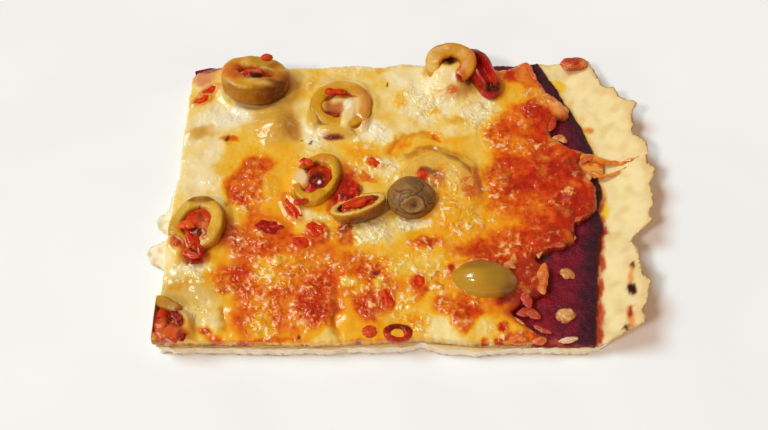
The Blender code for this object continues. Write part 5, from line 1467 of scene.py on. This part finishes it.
def make_half_olive(look, pimento):
    """Half an olive on its skin, hollow, with pimento in it."""
    middle, half_sizes, lean = HALF_OLIVE
    outer = np.array(half_sizes)
    rim = 0.12 * outer[2]
    rows = bowl_rows(outer, rim) + bowl_rows(outer - HALF_OLIVE_WALL, rim)[::-1]
    local = np.concatenate(rows)
    inner = np.repeat([0.0] * HALF_ROWS + [1.0] * HALF_ROWS, HALF_AROUND)
    edge = np.exp(-((local[:, 2] - rim) / 0.25) ** 2)
    local = local * (1 + 0.03 * noises_3d(local, 2.5, 21.0))[:, None]
    local[:, 2] += 0.3 * edge * noises_3d(local, 0.8, 22.0)
    points = rotated(local, lean) + middle
    oval = Canvas(points, 0.2, 91.0).oval
    tint = painted(len(points), (178, 126, 30), ((150, 60, 30), inner),
                   ((214, 152, 30), 0.8 * oval(362, 212, 22, 7, -25, 0.6) * (1 - inner)),
                   # painted shade: darker brown on the shell's underside, and dark red at u 352, v 226 as
                   # shadow below it
                   ((112, 52, 16), 0.85 * oval(372, 218, 20, 8, -35, 0.6) * (1 - inner)),
                   ((88, 18, 20), 0.8 * oval(352, 226, 12, 9, -20, 0.6) * (1 - inner)),
                   # the cut edge painted pale, for its flesh and as painted highlight
                   ((238, 194, 92), 0.85 * edge))
    faces = row_faces(2 * HALF_ROWS, HALF_AROUND)
    add_piece("olive_half_shell", points, faces, tint, look, "olive", "olive_half")
    points, unit, faces = blob(*HALF_OLIVE_PIMENTO, 71.5, 0.4, 0.08, 0.7)
    tint = pimento_tint(points, unit, 92.0, PIMENTO_RED)
    add_piece("pimento_half_pulp", points, faces, tint, pimento, "pimento", "pimento_half")


def make_pepper(look):
    """A curl of dark red pepper, open above, its lower lip paler."""
    middle, half_sizes, lean = PEPPER_CURL
    unit, faces = sphere(FINE_DETAIL)
    swell = 1 + 0.15 * noises_3d(unit, 0.625, 80.5) + 0.12 * noises_3d(unit, 0.45, 23.0)
    local = unit * swell[:, None] * np.array(half_sizes)
    inside = ((local[:, 0] - 0.4) / 6.6) ** 2 + (local[:, 1] / 2.0) ** 2
    hollow = (1 - smooth(0.35, 1.0, inside)) * (local[:, 2] > 0)
    local[:, 2] -= 3.6 * hollow
    points = rotated(local, lean) + middle
    oval = Canvas(points, 0.4, 93.0).oval
    tint = painted(len(points), (140, 14, 12),
                   ((120, 24, 12), 0.7 * oval(474, 54, 10, 12, 0, 0.6)), ((150, 6, 14), 0.8 * hollow),
                   # the orange-red at u 497, v 74 is a painted highlight
                   ((214, 74, 16), 0.8 * oval(497, 74, 6, 9, 0, 0.6)),
                   ((176, 40, 60), 0.9 * oval(492, 96, 16, 6, 10, 0.5)),
                   ((206, 26, 18), 0.7 * oval(488, 72, 8, 12, -20, 0.5)),
                   # near-black where the curl opens: painted shade
                   ((36, 4, 6), 0.95 * oval(492, 87, 7, 3.5, 15, 0.5)))
    add_piece("pepper_curl_skin", points, faces, tint, look, "pimento", "pepper_curl")


def make_scraps(look, plain):
    """The ring and lobe of pimento at the front cut, the scrap on the tall slice and the browned crumb."""
    points, faces, a, _ = ring(PIMENTO_RING, 17.0, 0.12)
    tint = painted(len(points), (176, 34, 20), ((92, 10, 18), smooth(-0.4, 0.6, np.sin(a)) * 0.7))
    add_piece("pimento_ring_skin", points, faces, tint, look, "pimento", "pimento_ring")
    for name, spec, seed in (("pimento_lobe", PIMENTO_LOBE, 90.5), ("pimento_tip", PIMENTO_TIP, 95.5)):
        points, unit, faces = blob(*spec, seed, 0.12, 0.2, 0.6)
        tint = pimento_tint(points, unit, seed, SCRAP_RED)
        add_piece(name + "_skin", points, faces, tint, look, "pimento", name)
    points, unit, faces = blob(*BROWNED_CHUNK, 96.5, 0.25, 0.14, 0.9)
    tint = pimento_tint(points, unit, 97.0, CHUNK_BROWN, CHUNK_COLOURS)
    add_piece("browned_chunk_crust", points, faces, tint, plain, "chunk", "browned_chunk")


def make_strips(look):
    parts = []
    for i, (x, y, length, width, turn) in enumerate(PIMENTO_STRIPS):
        middle = (x, y, swells(np.array([x]), np.array([y]))[0] - 0.05)
        sizes = (length * STRIP_SCALE, width * STRIP_SCALE, 0.6 * STRIP_HEIGHT)
        points, unit, faces = blob(middle, sizes, (0, 0, turn), i + 20.5, 0.6, 0.22, 0.8)
        tint = painted(len(points), DARK_STRIP if i == DARK_STRIP_NUMBER else STRIP_RED,
                       blotches(unit, (150, 14, 8), 0.7, 0.1, 0.5, 0.7, i + 5.0),
                       blotches(unit, (234, 92, 24), 0.6, 0.15, 0.45, 0.6, i + 3.0))
        parts.append((points, faces, tint))
    add_joined("pimento_strips", parts, look, "pimento")


def tube(path, radius, seed, uneven, flat):
    """Points and faces of an uneven closed tube through these places, lower than it is wide."""
    path = np.array(path, float)
    at = np.linspace(0, len(path) - 1, (len(path) - 1) * TUBE_STEPS + 1)
    known = np.arange(len(path))
    soft = np.stack([np.interp(at, known, path[:, i]) for i in range(3)], 1)
    for _ in range(TUBE_STEPS // 2):
        soft[1:-1] = (soft[:-2] + 2 * soft[1:-1] + soft[2:]) / 4
    share = at / at[-1]
    thick = np.interp(at, known, np.broadcast_to(np.asarray(radius, float), len(path)))
    thick = thick * np.minimum(1, np.sqrt(np.clip(np.minimum(share, 1 - share) * 3.5, 0.02, 1)))
    run = np.gradient(soft, axis=0)
    run /= np.linalg.norm(run, axis=1)[:, None] + 1e-9
    side = np.cross(run, (0, 0, 1.0))
    side /= np.linalg.norm(side, axis=1)[:, None] + 1e-9
    rise = np.cross(side, run)
    angle = np.linspace(0, 2 * math.pi, TUBE_AROUND, endpoint=False)[None, :, None]
    round_it = np.cos(angle) * side[:, None] + flat * np.sin(angle) * rise[:, None]
    points = (soft[:, None] + thick[:, None, None] * round_it).reshape(-1, 3)
    bumps = noises_3d(points, 1.5, seed) * uneven + noises_3d(points, 0.6, seed + 2) * 0.08
    centre = np.repeat(soft, TUBE_AROUND, axis=0)
    reach = 1 + bumps / np.maximum(np.repeat(thick, TUBE_AROUND), 0.3)
    points = centre + (points - centre) * reach[:, None]
    return points, [face[::-1] for face in row_faces(len(soft), TUBE_AROUND)]


def make_pulp(look):
    parts = []
    for i, (pixels, radius, level, colour) in enumerate(PULP):
        path = [(*on_level(u, v, level), level) for u, v in pixels]
        points, faces = tube(path, 1.2 * radius, 35.0 + i, 0.55, 0.4)
        parts.append((points, faces, painted(
            len(points), colour, blotches(points, (120, 8, 6), 0.5, 0.0, 0.4, 1.2, 36.0),
            blotches(points, (240, 130, 70), 0.4, 0.2, 0.5, 0.9, 37.0))))
    points, _, faces = blob(*CRIMSON_LUMP, 38.5, 0.4)
    parts.append((points, faces, painted(
        len(points), (186, 18, 14), blotches(points, (110, 6, 12), 0.8, 0.0, 0.35, 1.8, 39.0),
        blotches(points, (226, 84, 50), 0.7, 0.15, 0.4, 1.2, 39.5))))
    add_joined("pimento_pulp", parts, look, "pimento")


def make_strands(look):
    parts = []
    for i, strand in enumerate(SHREDS):
        path = []
        for x, y, radius in strand:
            floor = max(CHEESE_BOTTOM + 0.4, dough_top(np.array([x]), np.array([y]), np.array([5.0]))[0])
            path.append((x, y, floor + 0.6 * radius))
        points, faces = tube(path, [radius for x, y, radius in strand], 24.0 + i, 0.4, 0.6)
        parts.append((points, faces, painted(
            len(points), STRAND_COLOUR, blotches(points, (206, 86, 20), 0.8, 0.0, 0.4, 1.6, 25.0),
            blotches(points, (240, 184, 90), 0.7, 0.1, 0.5, 1.2, 26.0))))
    x, y, *sizes = SHRED_WEB
    points, _, faces = blob((x, y, CHEESE_BOTTOM + 0.6), sizes, (0, 0, 0), 9.5, 0.3)
    parts.append((points, faces, painted(
        len(points), (232, 150, 60), blotches(points, (206, 80, 24), 0.8, -0.1, 0.4, 1.4, 27.0))))
    add_joined("cheese_strands", parts, look, "cheese")


def make_shreds(look):
    parts = []
    for i, (pixels, radius, level, colour) in enumerate(LOOSE_SHREDS):
        path = [(*on_level(u, v, level), level - 0.25 * radius) for u, v in pixels]
        points, faces = tube(path, 1.1 * radius, 28.0 + i, 0.36, 0.36)
        parts.append((points, faces, painted(
            len(points), colour, blotches(points, (176, 44, 22), 0.45, 0.0, 0.35, 1.3, 29.0 + i),
            blotches(points, (246, 196, 130), 0.35, 0.15, 0.5, 0.8, 30.0 + i))))
    add_joined("cheese_shreds", parts, look, "cheese")


def make_sauce_bits(look):
    parts = []
    for i, (x, y, length, width, height, turn, colour) in enumerate(SAUCE_BITS):
        middle, sizes = (x, y, SAUCE_TOP + 0.3), (length, width, height)
        points, unit, faces = blob(middle, sizes, (0, 0, turn), i + 0.5, 0.25, 0.12, 0.8)
        fold = 1 - smooth(0.0, 0.18, np.abs(noises_3d(unit, 0.4, i + 7.0)))
        parts.append((points, faces, painted(
            len(points), colour, ((150, 72, 34), 0.7 * fold),
            blotches(unit, (240, 196, 128), 0.6, 0.1, 0.5, 0.6, i + 8.0))))
    add_joined("sauce_bits", parts, look, "cheese")


def main():
    olive = olive_look("olive_flesh", 0.4, 1.0, 0.4)
    pimento, cheese, crust = pimento_look(), cheese_look(), crust_look()
    make_dough(dough_look())
    make_sauce(sauce_look())
    make_cheese(cheese)
    make_olive_slices(olive)
    make_stuffing(pimento)
    make_caper(caper_look())
    make_whole_olive(olive_look("olive_skin", 1.0, 0.15, 0.12))
    make_half_olive(olive, pimento)
    make_pepper(pimento)
    make_scraps(pimento, crust)
    make_strips(pimento)
    make_pulp(pimento)
    make_strands(cheese)
    make_shreds(crust)
    make_sauce_bits(crust)
    make_stage()


def make_stage():
    bpy.ops.mesh.primitive_plane_add(size=FLOOR_SIZE)
    floor = bpy.context.object
    floor.name = "floor"
    floor.data.materials.append(floor_look())

    place = bpy.context.scene
    place.world = bpy.data.worlds.new("studio")
    place.world.use_nodes = True
    glow = place.world.node_tree.nodes["Background"].inputs
    glow["Color"].default_value, glow["Strength"].default_value = GLOW_COLOUR, GLOW_STRENGTH
    for name, towards, spread, power, colour in LIGHTS:
        lamp = bpy.data.lights.new(name, "SUN")
        lamp.angle = math.radians(spread)
        lamp.energy = power
        lamp.color = colour
        holder = bpy.data.objects.new(name, lamp)
        holder.rotation_euler = Vector(towards).to_track_quat("Z", "Y").to_euler()
        place.collection.objects.link(holder)

    lens = bpy.data.cameras.new("camera")
    lens.sensor_width = SENSOR_WIDTH
    lens.lens = SENSOR_WIDTH * FOCAL_PIXELS / PHOTO_WIDTH
    lens.clip_start = 0.01
    camera = bpy.data.objects.new("camera", lens)
    camera.location = [(at - middle) * MM for at, middle in zip(CAMERA_AT, (*BOX_MIDDLE, 0.0))]
    camera.rotation_euler = (math.radians(90 - CAMERA_ELEVATION), 0, 0)
    place.collection.objects.link(camera)
    place.camera = camera
    place.view_settings.view_transform = "Standard"


main()
